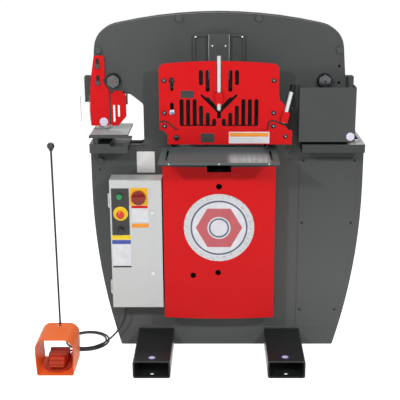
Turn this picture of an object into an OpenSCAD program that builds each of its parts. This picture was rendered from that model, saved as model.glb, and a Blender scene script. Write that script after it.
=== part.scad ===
// Hydraulic ironworker: punch at the left, shear in the middle, notcher at the right, foot pedal on a cord.
// Millimetres. X to the right, Y away from the operator, Z up, origin on the floor amid the floor anchors.

/* [Frame] */
// Height of the frame at the crown of its arch
frame_h = 1424; // [1400:1:1460]
// Radius of the arch
arch_r = 1900; // [1600:10:2400]
// Radius of the shoulders of the arch
shoulder_r = 95; // [70:1:100]
// Thickness of each frame plate
plate_t = 25; // [20:1:32]
// Gap between the two frame plates
plate_gap = 44; // [40:1:50]
// Half width of the upper frame at its jaws
upper_half = 512; // [505:1:525]
// Lean of the upper sides, in degrees
side_lean = 4.8; // [3:0.1:6]
// Half width of the lower body at its waist
body_half = 560; // [550:1:580]
// Offset of the lower body to the right
body_shift = 34; // [25:1:40]
// Half width of the lower body at the floor
foot_half = 458; // [440:1:480]
// Depth of the waist below the upper jaws
waist_drop = 382; // [350:1:410]

/* [Throats] */
// Height of the head above the upper jaws
head_h = 322; // [312:1:332]
// Height of the punch throat
punch_throat_h = 210; // [206:1:214]
// Height of the notcher throat
notch_throat_h = 221; // [216:1:226]
// Distance of the punch throat's wall from the middle
punch_wall = 306; // [300:1:315]
// Distance of the notcher throat's wall from the middle
notch_wall = 345; // [335:1:355]
// Corner radius of the throats
throat_r = 20; // [12:1:24]

/* [Base tubes] */
// Width of a base tube
tube_w = 152; // [140:1:165]
// Height of a base tube
tube_h = 76; // [70:1:90]
// Wall of a base tube
tube_wall = 6; // [4:0.5:10]
// Length of a base tube
tube_len = 730; // [700:5:800]
// Distance of a base tube from the middle
tube_x = 272; // [255:1:285]
// Diameter of a floor anchor hole
anchor_d = 19; // [14:1:24]
// Distance of an anchor hole from the end of its tube
anchor_inset = 32; // [26:1:45]

/* [Beam] */
// Working stroke of the beam
stroke = 36; // [30:1:40]
// Thickness of the beam
beam_t = 38; // [36:0.5:39]
// Half length of the beam
beam_half = 545; // [540:1:552]
// Height of the beam at its ends
beam_end_h = 64; // [60:1:80]
// Diameter of a beam guide stud
stud_d = 30; // [24:1:34]
// Distance of a guide stud from the middle
stud_x = 423; // [415:1:430]
// Height of a guide stud above the upper jaws
stud_rise = 54; // [50:1:60]
// Width across flats of a guide nut
guide_nut_af = 46; // [40:1:50]
// Diameter of a guide washer
guide_washer_d = 62; // [56:1:64]
// Distance of the draw links beyond the shear blades
link_gap = 47; // [44:1:50]
// Width of a draw link
link_w = 44; // [38:1:48]
// Thickness of a draw link
link_t = 12; // [10:0.5:13]
// Diameter of a link pin
link_pin_d = 26; // [20:1:28]

/* [Cylinder] */
// Bore of the cylinder
bore_d = 170; // [150:1:180]
// Wall of the barrel
barrel_wall = 13; // [10:1:16]
// Length of the barrel
barrel_len = 300; // [270:5:320]
// Depth of the barrel's upper end below the notcher's jaw
barrel_drop = 81; // [70:1:95]
// Diameter of the piston rod
rod_d = 80; // [60:1:95]

/* [Shear] */
// Depth of the shear table below the upper jaws
table_drop = 220; // [216:1:224]
// Overhang of the shear table past each end of the blades
table_margin = 45; // [40:1:48]
// Reach of the shear table in front of the frame
table_reach = 265; // [255:1:300]
// Thickness of the shear table
table_t = 10; // [6:0.5:12]
// Length of the shear blades
blade_len = 376; // [350:1:380]
// Opening between the shear blades
blade_gap = 23; // [20:0.5:26]
// Distance of the guard's front face from the frame
guard_reach = 103; // [90:1:120]
// Overhang of the guard past each end of the blades
guard_margin = 47; // [44:1:50]
// Thickness of the guard plates
guard_t = 6; // [4:0.5:8]
// Height of the feed gap below the guard
feed_gap = 35; // [28:1:38]
// Diameter of the hold-down screws
hold_down_d = 16; // [12:1:18]

/* [Punch] */
// Distance of the punch from the middle
punch_x = 482; // [478:1:486]
// Diameter of the punch at its tip
punch_d = 21; // [10:0.5:26]
// Height of the gauge table above the punch's jaw
gauge_rise = 66; // [62:1:70]
// Outside diameter of the die
die_d = 60; // [54:1:66]
// Gap between the stripper and the gauge table
strip_gap = 15; // [13:0.5:18]

/* [Notcher] */
// Thickness of the notcher table
notch_table_t = 34; // [30:1:36]
// Width of the notch
notch_w = 91; // [70:1:95]
// Gap between the notcher table and its guard
notch_gap = 9; // [8:1:14]
// Reach of the notcher guard in front of the frame
notch_reach = 90; // [80:1:96]

/* [Covers] */
// Overhang of the front cover past each end of the blades
cover_margin = 40; // [36:1:43]
// Height of the front cover's lower edge
cover_z = 167; // [150:1:190]
// Reach of the front cover at its sides
cover_reach = 88; // [80:1:110]
// Bow of the front cover's face
cover_bow = 16; // [8:1:24]
// Sheet of the covers
sheet_t = 3; // [2:0.5:4]

/* [Control box] */
// Width of the control box
box_w = 211; // [200:1:215]
// Depth of the control box's top below the punch's jaw
box_drop = 126; // [110:1:140]
// Depth of the control box with its door
box_d = 90; // [80:1:110]
// Height of the control box above the floor
box_z = 213; // [205:1:225]
// Gap between the control box and the front cover
box_gap = 5.5; // [4:0.5:12]
// Sheet of the control box
box_t = 2; // [1.5:0.1:3]
// Diameter of the emergency-stop mushroom
estop_d = 32; // [26:1:40]
// Diameter of the disconnect knob
disconnect_d = 58; // [46:1:60]

/* [Pedal] */
// Distance of the pedal's middle to the left
pedal_x = 664; // [660:1:670]
// Width of the hood at the floor
hood_w = 148; // [140:1:156]
// Height of the hood
hood_h = 157; // [145:1:165]
// Depth of the hood
hood_d = 170; // [165:1:180]
// Sheet of the hood
hood_t = 3; // [2:0.5:4]
// Height of the carrying rod's ball
ball_z = 917; // [880:1:950]
// Diameter of the ball
ball_d = 30; // [24:1:36]
// Diameter of the carrying rod
carry_d = 8; // [6:0.5:9]
// Diameter of the pedal's cord
cord_d = 8; // [7:0.1:8.4]

/* [Hidden] */
$fn = 48;

// Colours
frame_grey = [0.29, 0.30, 0.30];
guard_red = [0.86, 0.10, 0.12];
box_grey = [0.78, 0.79, 0.78];
steel = [0.70, 0.71, 0.72];
dark_steel = [0.24, 0.25, 0.26];
bronze = [0.72, 0.55, 0.30];
tube_black = [0.12, 0.12, 0.13];
pedal_orange = [0.93, 0.36, 0.13];
treadle_red = [0.75, 0.20, 0.12];

// Clearances
run_gap = 0.3;
fit_gap = 0.05;
bolt_gap = 0.5;
past = 1;

// Frame
y_front = -(plate_gap / 2 + plate_t);
y_rear = -y_front;
upper_jaw_z = frame_h - head_h;
punch_jaw_z = upper_jaw_z - punch_throat_h;
notch_jaw_z = upper_jaw_z - notch_throat_h;
waist_z = upper_jaw_z - waist_drop;
table_z = upper_jaw_z - table_drop;
foot_clear = 2;
foot_r = 8;
lip_r = 8;
throat_drop = 41;
throat_run = 52;
corner_steps = 6;
side_steps = 10;
arch_steps = 12;
side_r = (pow(body_half - foot_half, 2) + pow(waist_z - foot_clear, 2)) / (2 * (body_half - foot_half));
shoulder_x = upper_half - (arch_z(upper_half) - upper_jaw_z) * tan(side_lean);
window_half = blade_len / 2 + 12;
window_z0 = table_z - table_t / 2;
window_z1 = upper_jaw_z + 23;
window_r = 15;

// Fasteners of the frame
tie_d = 16;
tie_af = 24;
tie_head_h = 10;
crown_bolt = [157, frame_h - 22];
side_bolt = [upper_half - 32, upper_jaw_z + 176];
jaw_bolt = [body_shift - body_half + 40, punch_jaw_z - 64];
guard_hole_d = 11;
guard_hole_x = upper_half - 31;
guard_holes_z = [upper_jaw_z + 45, upper_jaw_z + 112];

// Base tubes
tube_r = 10;

// Beam
beam_z = upper_jaw_z + 3;
stud_z = upper_jaw_z + stud_rise;
pad_t = (plate_gap - beam_t) / 2 - run_gap;
guide_nut_h = 24;
guide_washer_t = 4;
link_x = blade_len / 2 + link_gap;
carrier_half = blade_len / 2 + 4;
carrier_z = table_z + blade_gap + 13;
shelf_x = upper_half - 6;
knee = [upper_half - 36, beam_z + 0.413 * head_h];
crown = [0.39 * upper_half, beam_z + 0.606 * head_h];
blade_h = 56;
blade_rake = 10;
rabbet_y = beam_t / 2 - 23;
tongue_t = beam_t - 2 * link_t - 2 * 0.2;
lug_r = link_w / 2 + 6;
pin_hi_z = beam_z - 45;
barrel_top_z = notch_jaw_z - barrel_drop;
barrel_z = barrel_top_z - barrel_len;
crosshead_h = 80;
crosshead_z = barrel_z - 2 * crosshead_h;
pin_lo_z = crosshead_z + crosshead_h / 2;

// Cylinder
barrel_r = bore_d / 2 + barrel_wall;
cap_h = 35;
gland_h = 28;
piston_h = 50;
piston_rest_gap = 10;
spigot_d = 26;
spigot_h = 60;
cyl_window_z0 = crosshead_z + crosshead_h - stroke - 10;

// Shear guard
guard_y = y_front - guard_reach;
guard_back = guard_y + guard_t;
guard_axis_y = guard_y + guard_t / 2;
guard_z0 = table_z + feed_gap;
guard_half = blade_len / 2 + guard_margin;
guard_rise = 330;
guard_top = guard_z0 + guard_rise;
guard_sag = 12;
seam_z = guard_z0 + 58;
seam_gap = 2;
screw_col = guard_half - 20;
screw_rows = [guard_z0 + 255, guard_z0 + 127, guard_z0 + 74];
corner_screw = [screw_col + 49, guard_z0 + 33];
hung_screw = [46 - screw_col, guard_z0 + 28];
adjuster_x = 30 - screw_col;
adjusters_z = [guard_z0 + 252, guard_z0 + 130];
post_r = 11;
screw_d = 10;
button_r = 9;
button_h = 6;
comb_pitch = (screw_col - 87) / 5;
comb_first = 0.74 * comb_pitch;
comb_slot_w = 0.625 * comb_pitch;
comb_z = guard_z0 + 73;
comb_tops = [104, 129, 156, 182, 182, 182];
vee_z = guard_z0 + 131;
collar_w = 28;
collar_h = 43;
collar_z = guard_z0 + 165;
angle_screw_z = [guard_z0 + 134, guard_top + 20];
flat_tip = [screw_col + 40, guard_z0 + 87];
flat_tilt = 13;
flat_len = 127;
flat_head_h = 28;

// Shear table
table_y = y_front - table_reach;
table_slot_w = 10;
gusset_t = 10;
gusset_reach = cover_reach - 18;
gusset_h = 112;

// Punch station
ram_h = 41;
ram_z = beam_z - ram_h;
gauge_z = punch_jaw_z + gauge_rise;
strip_z = gauge_z + strip_gap;
strip_foot_t = 12;
strip_travel = 10;
punch_tip_z = strip_z + strip_foot_t - 1;
nut_z = strip_z + strip_foot_t + stroke + 3;
nut_shoulder = 10;
punch_head_h = 8;
stem_r = beam_t / 2;
nut_r = 32;
shank_r = 14;
stripper_y = y_front - run_gap - guard_t;
strip_bolts_z = guard_holes_z;
strip_bolt_x = -(upper_half - 27);
strip_bolt_d = 12;
bolster_z0 = punch_jaw_z - 14;
bolster_top = punch_jaw_z + 23;
bolster_x = [-(upper_half + 6), -(punch_wall + 59)];
bolster_reach = 91;
bolster_step = 9;
bolster_step_x = 47 - punch_x;
bolster_rear_x = bolster_x[1] - 40;
gauge_t = 8;
gauge_x = [-upper_half, -(punch_wall + 55)];
gauge_y = [y_front - 113, y_rear + 25];
die_z = gauge_z - 28;
slug_r = punch_d / 2 + 6;
shield_t = 3;

// Notcher
notch_top = notch_jaw_z + notch_table_t;
notch_bar = 20;
notch_bar_h = 18;
slug_drop = 18;
notch_x0 = notch_wall + 80;
notch_table_x = [notch_wall - 13, body_shift + body_half - 11];
notch_x1 = notch_table_x[1] - 15;
notch_table_reach = 97;
notch_guard_x = [notch_wall - 27, beam_half - 4];
notch_guard_top = upper_jaw_z + 40;
notch_guard_y = y_front - notch_reach;

// Front cover and side panel
cover_half = blade_len / 2 + cover_margin;
cover_top = table_z - table_t - 6;
cover_steps = 14;
flange_w = 18;
cover_hole_d = 24;
cover_notch_w = 96;
cover_notch_h = 63;
cover_h = cover_top - cover_z;
cover_holes = [
    [0, cover_top - 123], [-4, cover_z + 0.2955 * cover_h], [-0.47 * cover_half, cover_z + 0.276 * cover_h]
];
panel_t = 2;
panel_x = notch_wall - 13;
panel_inset = 24;
panel_z = [tube_h + 3, notch_jaw_z - 44];
service_x = [panel_x + 26, panel_x + 146];
service_z = [0.295 * notch_jaw_z, 0.795 * notch_jaw_z];
panel_rows = [panel_z[1] - 11, panel_z[0] + 0.632 * (panel_z[1] - panel_z[0]), panel_z[0] + 87];
panel_screws = [
    for (z = panel_rows)
        each [[panel_x + 15, z], [body_shift + side_x(min(z, waist_z)) - panel_inset - 12, z]]
];

// Control box
box_h = punch_jaw_z - box_drop - box_z;
door_d = 18;
door_gap = 1;
box_x1 = -cover_half - box_gap;
box_x0 = box_x1 - box_w;
box_front = y_front - box_d;
shell_front = box_front + door_d + door_gap;
hinge_r = 4.5;
hinge_pin_r = 2.2;
hinge_axis = [box_x0 - hinge_r - bolt_gap, box_front + door_d - 1];
hinges_z = [box_z + 0.16 * box_h, box_z + 0.84 * box_h];
knuckle = 20;
box_top = box_z + box_h;
start_at = [box_x0 + 40, box_top - 68];
estop_at = [box_x0 + 43, box_top - 141];
selector_at = [box_x0 + 40, box_top - 213];
disconnect_at = [box_x0 + 118, box_top - 72];
latches_z = [box_top - 138, box_z + 0.275 * box_h];
latch_x = box_x1 - 39;
latch_r = 9;
stem_d = 16;
button_travel = 5;

// Power unit behind the frame
tank_half = tube_x - 37;
tank_y = [y_rear + 28, y_rear + 268];
tank_h = 0.52 * (barrel_z - tube_h);
tank_wall = 4;
motor_r = 90;
motor_len = 270;
motor_x1 = tank_half - 165;
motor_z = tube_h + tank_h + 24 + motor_r;
line_r = 9;
line_y = barrel_r + 14 + line_r;
motor_y = line_y + line_r + motor_r + 4;
valve_x = tank_half - 85;
valve_w = 90;
valve_h = 0.26 * (barrel_z - tube_h);

// Foot pedal
hood_front = y_front - 294;
hood_rear = hood_front + hood_d;
hood_bulge = 4;
hood_chamfer = 24;
hood_shoulder_r = 30;
base_h = 6;
pivot_y = hood_rear - 32;
pivot_z = hood_t + 21;
cheek_x = 46;
cheek_t = 6;
treadle_half = cheek_x - cheek_t / 2 - 1;
trunnion_r = 5;
carry_y = hood_rear - 9;

// Cord of the pedal: straight out of the box, down to the floor, two loose loops, then into the pedal
box_gland_x = -400;
box_gland_y = y_front - 45;
box_gland_h = 28;
pedal_gland_x = -650;
pedal_gland_len = 24;
pedal_gland_z = 14;
loop_centre = [-580, -18];
loop_r = 74;
loop_pitch = 12;
loop_turns = 2;
loop_rings = 24;
cord_sides = 8;
cord_floor = cord_d / 2 + 0.2;
drop_points = [
    [-400, -92, 185], [-400, -92, 162], [-406, -91, 136], [-418, -88, 110], [-434, -84, 84],
    [-454, -79, 59], [-476, -77, 37], [-499, -79, 22], [-522, -83, 13], [-546, -88, 7]
];
lead_points = [
    [-597, -117, 4.4], [-614, -119.5, 5.5], [-629, -125, 8], [-640, -133, 10.5], [-647.5, -143, 13],
    [-650, -153, 14], [-650, -163, 14]
];
loop_points = [
    for (i = [0 : loop_rings * loop_turns])
        let (turn = i / loop_rings, r = loop_r + loop_pitch * turn)
            [loop_centre[0] - r * sin(360 * turn), loop_centre[1] - r * cos(360 * turn), cord_floor]
];
cord_points = concat(drop_points, loop_points, lead_points);
cord_gap = min([
    for (i = [0 : len(cord_points) - 1])
        for (j = [i + loop_rings / 2 : 1 : len(cord_points) - 1])
            norm(cord_points[i] - cord_points[j])
]) - cord_d;
echo(cord_least_gap = cord_gap);

// Geometry helpers
function unit(v) = v / norm(v);
function flat(p) = [p[0], p[1]];
function arch_z(x) = frame_h - arch_r + sqrt(arch_r * arch_r - x * x);
function side_x(z) = body_half - side_r + sqrt(side_r * side_r - pow(waist_z - z, 2));
function round_corner(a, b, c) =
    b[2] == 0 ? [flat(b)] :
    let (
        p = flat(b),
        u = unit(flat(a) - p),
        v = unit(flat(c) - p),
        half = acos(u * v) / 2,
        centre = p + unit(u + v) * b[2] / sin(half),
        first = p + u * b[2] / tan(half) - centre,
        last = p + v * b[2] / tan(half) - centre,
        start = atan2(first[1], first[0]),
        turn = atan2(cross(first, last), first * last)
    )
    [for (i = [0 : corner_steps])
        centre + b[2] * [cos(start + turn * i / corner_steps), sin(start + turn * i / corner_steps)]];
function rounded(pts) =
    let (n = len(pts))
    [for (i = [0 : n - 1]) each round_corner(pts[(i + n - 1) % n], pts[i], pts[(i + 1) % n])];
function mirrored(pts) = [for (i = [len(pts) - 1 : -1 : 0]) [-pts[i][0], pts[i][1], pts[i][2]]];
function rect(x0, x1, y0, y1, r) = rounded([[x0, y0, r], [x1, y0, r], [x1, y1, r], [x0, y1, r]]);
function carried(n, t) = unit(n - (n * t) * t);
function carry(tangents, i, n) =
    i == len(tangents) ? [] :
    let (m = carried(n, tangents[i])) concat([m], carry(tangents, i + 1, m));

// A profile drawn in X and Z, given thickness towards +Y from y
module upright(y, t) {
    translate([0, y + t, 0]) rotate([90, 0, 0]) linear_extrude(t) children();
}

// A profile drawn in Y and Z, given thickness towards +X from x
module sideways(x, t) {
    translate([x, 0, 0]) rotate([90, 0, 90]) linear_extrude(t) children();
}

module block(x0, x1, y0, y1, z0, z1) {
    translate([x0, y0, z0]) cube([x1 - x0, y1 - y0, z1 - z0]);
}

module round_y(x, z, r, y0, y1) {
    translate([x, y1, z]) rotate([90, 0, 0]) cylinder(r = r, h = y1 - y0);
}

module round_x(y, z, r, x0, x1) {
    translate([x0, y, z]) rotate([0, 90, 0]) cylinder(r = r, h = x1 - x0);
}

module round_z(x, y, r, z0, z1) {
    translate([x, y, z0]) cylinder(r = r, h = z1 - z0);
}

module hex_y(x, z, af, y0, y1) {
    translate([x, y1, z]) rotate([90, 30, 0]) cylinder(r = af / sqrt(3), h = y1 - y0, $fn = 6);
}

module slot_y(x, z0, z1, w, y0, y1) {
    block(x - w / 2, x + w / 2, y0, y1, z0 + w / 2, z1 - w / 2);
    round_y(x, z0 + w / 2, w / 2, y0, y1);
    round_y(x, z1 - w / 2, w / 2, y0, y1);
}

module sphere_at(p, r) {
    translate(p) sphere(r = r);
}

// Low domed head with a hex socket, facing the operator
module button_head(x, z, y, r, h) {
    difference() {
        intersection() {
            round_y(x, z, r, y - h, y);
            sphere_at([x, y + r * 0.9, z], r * 1.6);
        }
        hex_y(x, z, r * 0.75, y - h - past, y - h / 2);
    }
}

// Outline of a frame plate
module plate_outline() {
    right = [for (i = [0 : side_steps])
        let (z = foot_clear + (waist_z - foot_clear) * i / side_steps)
            [body_shift + side_x(z), z, i == 0 ? foot_r : 0]];
    left = [for (i = [side_steps : -1 : 0]) [2 * body_shift - right[i][0], right[i][1], right[i][2]]];
    arch = [for (i = [0 : arch_steps])
        let (x = shoulder_x * (1 - 2 * i / arch_steps))
            [x, arch_z(x), i == 0 || i == arch_steps ? shoulder_r : 0]];
    polygon(rounded(concat(
        right,
        [
            [body_shift + body_half, notch_jaw_z, lip_r],
            [notch_wall, notch_jaw_z, throat_r],
            [notch_wall, upper_jaw_z - throat_drop, throat_r],
            [notch_wall + throat_run, upper_jaw_z, throat_r],
            [upper_half, upper_jaw_z, lip_r]
        ],
        arch,
        [
            [-upper_half, upper_jaw_z, lip_r],
            [-punch_wall - throat_run, upper_jaw_z, throat_r],
            [-punch_wall, upper_jaw_z - throat_drop, throat_r],
            [-punch_wall, punch_jaw_z, throat_r],
            [body_shift - body_half, punch_jaw_z, lip_r]
        ],
        left
    )));
}

// Cuts that both frame plates share
module plate_cuts() {
    for (s = [-1, 1]) {
        block(s * tube_x - tube_w / 2, s * tube_x + tube_w / 2, y_front - past, y_rear + past, -past, tube_h);
        round_y(s * stud_x, stud_z, stud_d / 2 + bolt_gap, y_front - past, y_rear + past);
        for (b = [crown_bolt, side_bolt])
            round_y(s * b[0], b[1], tie_d / 2 + bolt_gap, y_front - past, y_rear + past);
    }
    round_y(jaw_bolt[0], jaw_bolt[1], tie_d / 2 + bolt_gap, y_front - past, y_rear + past);
    block(-barrel_r - bolt_gap, barrel_r + bolt_gap, y_front - past, y_rear + past,
        cyl_window_z0, barrel_top_z);
    block(notch_x0 + 5, notch_x1, y_front - past, y_rear + past,
        notch_jaw_z - slug_drop, notch_jaw_z + past);
}

module front_plate() {
    color(frame_grey) difference() {
        upright(y_front, plate_t) plate_outline();
        plate_cuts();
        upright(y_front - past, plate_t + 2 * past)
            polygon(rect(-window_half, window_half, window_z0, window_z1, window_r));
        upright(y_front - past, plate_t + 2 * past)
            polygon(rect(service_x[0], service_x[1], service_z[0], service_z[1], window_r));
        for (z = guard_holes_z) {
            round_y(guard_hole_x, z, guard_hole_d / 2, y_front - past, y_front + plate_t + past);
            round_y(strip_bolt_x, z, strip_bolt_d / 2 + fit_gap, y_front - past, y_front + plate_t + past);
        }
        for (p = post_places())
            round_y(p[0], p[1], screw_d / 2 + fit_gap, y_front - past, y_front + plate_t + past);
    }
}

module rear_plate() {
    color(frame_grey) difference() {
        upright(plate_gap / 2, plate_t) plate_outline();
        plate_cuts();
        block(-blade_len / 2 - past, blade_len / 2 + past, plate_gap / 2 - past, y_rear + past,
            table_z - blade_h / 2, guard_z0);
        upright(plate_gap / 2 - past, plate_t + 2 * past) vee_opening();
    }
}

// Bars and rings that hold the two plates apart
module frame_spacers() {
    y0 = -plate_gap / 2;
    y1 = plate_gap / 2;
    color(dark_steel) {
        difference() {
            block(-crown_bolt[0] - 28, crown_bolt[0] + 28, y0, y1, crown_bolt[1] - 14, crown_bolt[1] + 10);
            for (s = [-1, 1])
                round_y(s * crown_bolt[0], crown_bolt[1], tie_d / 2 + bolt_gap, y0 - past, y1 + past);
        }
        for (s = [-1, 1]) difference() {
            round_y(s * side_bolt[0], side_bolt[1], tie_d, y0, y1);
            round_y(s * side_bolt[0], side_bolt[1], tie_d / 2 + bolt_gap, y0 - past, y1 + past);
        }
        difference() {
            block(body_shift - body_half + 12, bolster_x[1] - 10, y0, y1, punch_jaw_z - 90, punch_jaw_z);
            round_y(jaw_bolt[0], jaw_bolt[1], tie_d / 2 + bolt_gap, y0 - past, y1 + past);
            round_z(-punch_x, 0, slug_r, punch_jaw_z - 90 - past, punch_jaw_z + past);
        }
        block(notch_wall + 15, notch_x0, y0, y1, notch_jaw_z - 80, notch_jaw_z);
        for (s = [-1, 1])
            block(body_shift + s * (foot_half + 32) - 15, body_shift + s * (foot_half + 32) + 15, y0, y1,
                0.34 * notch_jaw_z, waist_z - 20);
        block(tube_w / 2 + 26 - tube_x, tube_x - tube_w / 2 - 26, y0, y1, foot_clear + 6, tube_h - 16);
    }
}

// Hex bolt through the frame with a nut behind
module frame_bolt(x, z) {
    hex_y(x, z, tie_af, y_front - tie_head_h, y_front);
    round_y(x, z, tie_d / 2, y_front - tie_head_h / 2, y_rear + tie_head_h + 4);
    hex_y(x, z, tie_af, y_rear, y_rear + tie_head_h);
}

// Bolt with a washer that holds the stripper through its slot
module stripper_bolt(z) {
    washer_y = stripper_y - run_gap;
    round_y(strip_bolt_x, z, 10, washer_y - 2, washer_y);
    hex_y(strip_bolt_x, z, 17, washer_y - 10, washer_y - 2);
    round_y(strip_bolt_x, z, strip_bolt_d / 2, washer_y - 2, y_front + plate_t);
}

module tie_bolts() {
    color(dark_steel) {
        for (s = [-1, 1])
            for (b = [crown_bolt, side_bolt])
                frame_bolt(s * b[0], b[1]);
        frame_bolt(jaw_bolt[0], jaw_bolt[1]);
        for (z = strip_bolts_z)
            stripper_bolt(z);
    }
}

// Rectangular tube across the floor with an anchor hole at each end
module base_tube(x) {
    color(tube_black) difference() {
        upright(-tube_len / 2, tube_len)
            polygon(rect(x - tube_w / 2, x + tube_w / 2, 0, tube_h, tube_r));
        upright(-tube_len / 2 - past, tube_len + 2 * past)
            polygon(rect(x - tube_w / 2 + tube_wall, x + tube_w / 2 - tube_wall,
                tube_wall, tube_h - tube_wall, tube_r - tube_wall / 2));
        for (s = [-1, 1])
            round_z(x, s * (tube_len / 2 - anchor_inset), anchor_d / 2, -past, tube_wall + past);
    }
}

module base_tube_left() {
    base_tube(-tube_x);
}

module base_tube_right() {
    base_tube(tube_x);
}

// Studs on which the beam's ends slide, with washers and nuts outside both plates
module guide_studs() {
    end_y = y_rear + guide_washer_t + guide_nut_h + 6;
    color(dark_steel) for (s = [-1, 1]) {
        round_y(s * stud_x, stud_z, stud_d / 2, -end_y, end_y);
        for (f = [-1, 1]) {
            y0 = f < 0 ? y_front - guide_washer_t : y_rear;
            n0 = f < 0 ? y_front - guide_washer_t - guide_nut_h : y_rear + guide_washer_t;
            round_y(s * stud_x, stud_z, guide_washer_d / 2, y0, y0 + guide_washer_t);
            intersection() {
                hex_y(s * stud_x, stud_z, guide_nut_af, n0, n0 + guide_nut_h);
                sphere_at([s * stud_x, n0 + guide_nut_h / 2, stud_z], guide_nut_af * 0.6);
            }
        }
    }
}

// Bronze pads on the inner faces of the plates, which the beam runs between
module wear_pads() {
    color(bronze) for (s = [-1, 1]) for (f = [-1, 1]) {
        y0 = f < 0 ? -plate_gap / 2 : plate_gap / 2 - pad_t;
        difference() {
            block(s * stud_x - 45, s * stud_x + 45, y0, y0 + pad_t, upper_jaw_z + 12, stud_z + 70);
            round_y(s * stud_x, stud_z, stud_d / 2 + 2, y0 - past, y0 + pad_t + past);
        }
        block(s * 120 - 55, s * 120 + 55, y0, y0 + pad_t, window_z1 + 12, window_z1 + 110);
    }
}

// Moving beam and its hangers

// Opening for angle bars: two legs at right angles that grow stouter towards the root
module vee_opening() {
    outer = 73;
    inner = 50;
    thin = 7;
    stout = 22;
    polygon([
        [0, vee_z - stout / 2], [outer, vee_z + outer - stout / 2 + 2],
        [outer - thin / 2, vee_z + outer + thin - stout / 2 + 2], [inner, vee_z + inner + 6],
        [inner - 9, vee_z + inner + 9], [0, vee_z + stout / 2],
        [9 - inner, vee_z + inner + 9], [-inner, vee_z + inner + 6],
        [thin / 2 - outer, vee_z + outer + thin - stout / 2 + 2], [-outer, vee_z + outer - stout / 2 + 2]
    ]);
}

module beam() {
    y0 = -beam_t / 2;
    right = [
        [carrier_half, carrier_z, 0], [carrier_half, beam_z, 12], [beam_half, beam_z, 3],
        [beam_half, beam_z + beam_end_h, 3], [shelf_x, beam_z + beam_end_h, 8], [knee[0], knee[1], 20],
        [crown[0], crown[1], 60]
    ];
    color(dark_steel) difference() {
        union() {
            upright(y0, beam_t) polygon(rounded(concat(right, mirrored(right))));
            for (s = [-1, 1]) {
                block(s * link_x - lug_r, s * link_x + lug_r, -tongue_t / 2, tongue_t / 2,
                    pin_hi_z, beam_z + past);
                round_y(s * link_x, pin_hi_z, lug_r, -tongue_t / 2, tongue_t / 2);
            }
        }
        for (s = [-1, 1]) {
            slot_y(s * stud_x, stud_z - stud_d / 2 - bolt_gap, stud_z + stroke + stud_d / 2 + 2 * bolt_gap,
                stud_d + 2 * bolt_gap, y0 - past, -y0 + past);
            round_y(s * link_x, pin_hi_z, link_pin_d / 2 + fit_gap, y0 - past, -y0 + past);
        }
        upright(y0 - past, beam_t + 2 * past) vee_opening();
        block(-carrier_half - past, carrier_half + past, rabbet_y, -y0 + past, carrier_z - past,
            table_z + blade_gap + blade_h);
    }
}

module draw_links() {
    color(dark_steel) for (s = [-1, 1]) for (f = [-1, 1]) {
        y0 = f < 0 ? -beam_t / 2 : beam_t / 2 - link_t;
        difference() {
            union() {
                block(s * link_x - link_w / 2, s * link_x + link_w / 2, y0, y0 + link_t, pin_lo_z, pin_hi_z);
                for (z = [pin_lo_z, pin_hi_z])
                    round_y(s * link_x, z, link_w / 2 + 3, y0, y0 + link_t);
            }
            for (z = [pin_lo_z, pin_hi_z])
                round_y(s * link_x, z, link_pin_d / 2 + fit_gap, y0 - past, y0 + link_t + past);
        }
    }
}

module link_pins() {
    color(steel) for (s = [-1, 1]) for (z = [pin_lo_z, pin_hi_z])
        round_y(s * link_x, z, link_pin_d / 2, -beam_t / 2, beam_t / 2);
}

module crosshead() {
    half = link_x - lug_r - 6;
    color(dark_steel) difference() {
        union() {
            block(-half, half, -beam_t / 2, beam_t / 2, crosshead_z, crosshead_z + crosshead_h);
            for (s = [-1, 1]) {
                block(min(s * (half - past), s * link_x), max(s * (half - past), s * link_x),
                    -tongue_t / 2, tongue_t / 2, pin_lo_z - lug_r, pin_lo_z + lug_r);
                round_y(s * link_x, pin_lo_z, lug_r, -tongue_t / 2, tongue_t / 2);
            }
        }
        for (s = [-1, 1])
            round_y(s * link_x, pin_lo_z, link_pin_d / 2 + fit_gap, -beam_t, beam_t);
        round_z(0, 0, spigot_d / 2 + fit_gap, crosshead_z + crosshead_h - spigot_h - past,
            crosshead_z + crosshead_h + past);
    }
}

module piston_rod() {
    top = barrel_top_z - cap_h - piston_rest_gap;
    color(steel) union() {
        round_z(0, 0, bore_d / 2 - fit_gap, top - piston_h, top);
        round_z(0, 0, rod_d / 2, crosshead_z + crosshead_h, top - piston_h / 2);
        round_z(0, 0, spigot_d / 2, crosshead_z + crosshead_h - spigot_h, crosshead_z + crosshead_h + past);
    }
}

module cylinder_barrel() {
    color(dark_steel) difference() {
        union() {
            round_z(0, 0, barrel_r, barrel_z, barrel_top_z);
            for (z = [barrel_z + 24, barrel_top_z - cap_h - 6])
                round_y(0, z, 16, 0, barrel_r + 14);
        }
        round_z(0, 0, bore_d / 2, barrel_z - past, barrel_top_z - cap_h);
    }
}

module cylinder_gland() {
    color(steel) difference() {
        union() {
            round_z(0, 0, barrel_r, barrel_z - gland_h, barrel_z);
            round_z(0, 0, bore_d / 2 - fit_gap, barrel_z - past, barrel_z + 14);
        }
        round_z(0, 0, rod_d / 2 + fit_gap, barrel_z - gland_h - past, barrel_z + 14 + past);
    }
}

// Shear station

module lower_blade() {
    color(steel) block(-blade_len / 2, blade_len / 2, beam_t / 2 + 2 * run_gap, y_rear - 3,
        table_z - blade_h / 2, table_z);
}

module upper_blade() {
    z0 = table_z + blade_gap;
    color(steel) upright(rabbet_y + run_gap, beam_t / 2 - rabbet_y - run_gap)
        polygon([
            [-blade_len / 2, z0], [blade_len / 2, z0 + blade_rake],
            [blade_len / 2, z0 + blade_h - run_gap], [-blade_len / 2, z0 + blade_h - run_gap]
        ]);
}

function post_places() = concat(
    [for (s = [-1, 1]) for (z = screw_rows) [s * screw_col, z]],
    [corner_screw]
);

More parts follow.
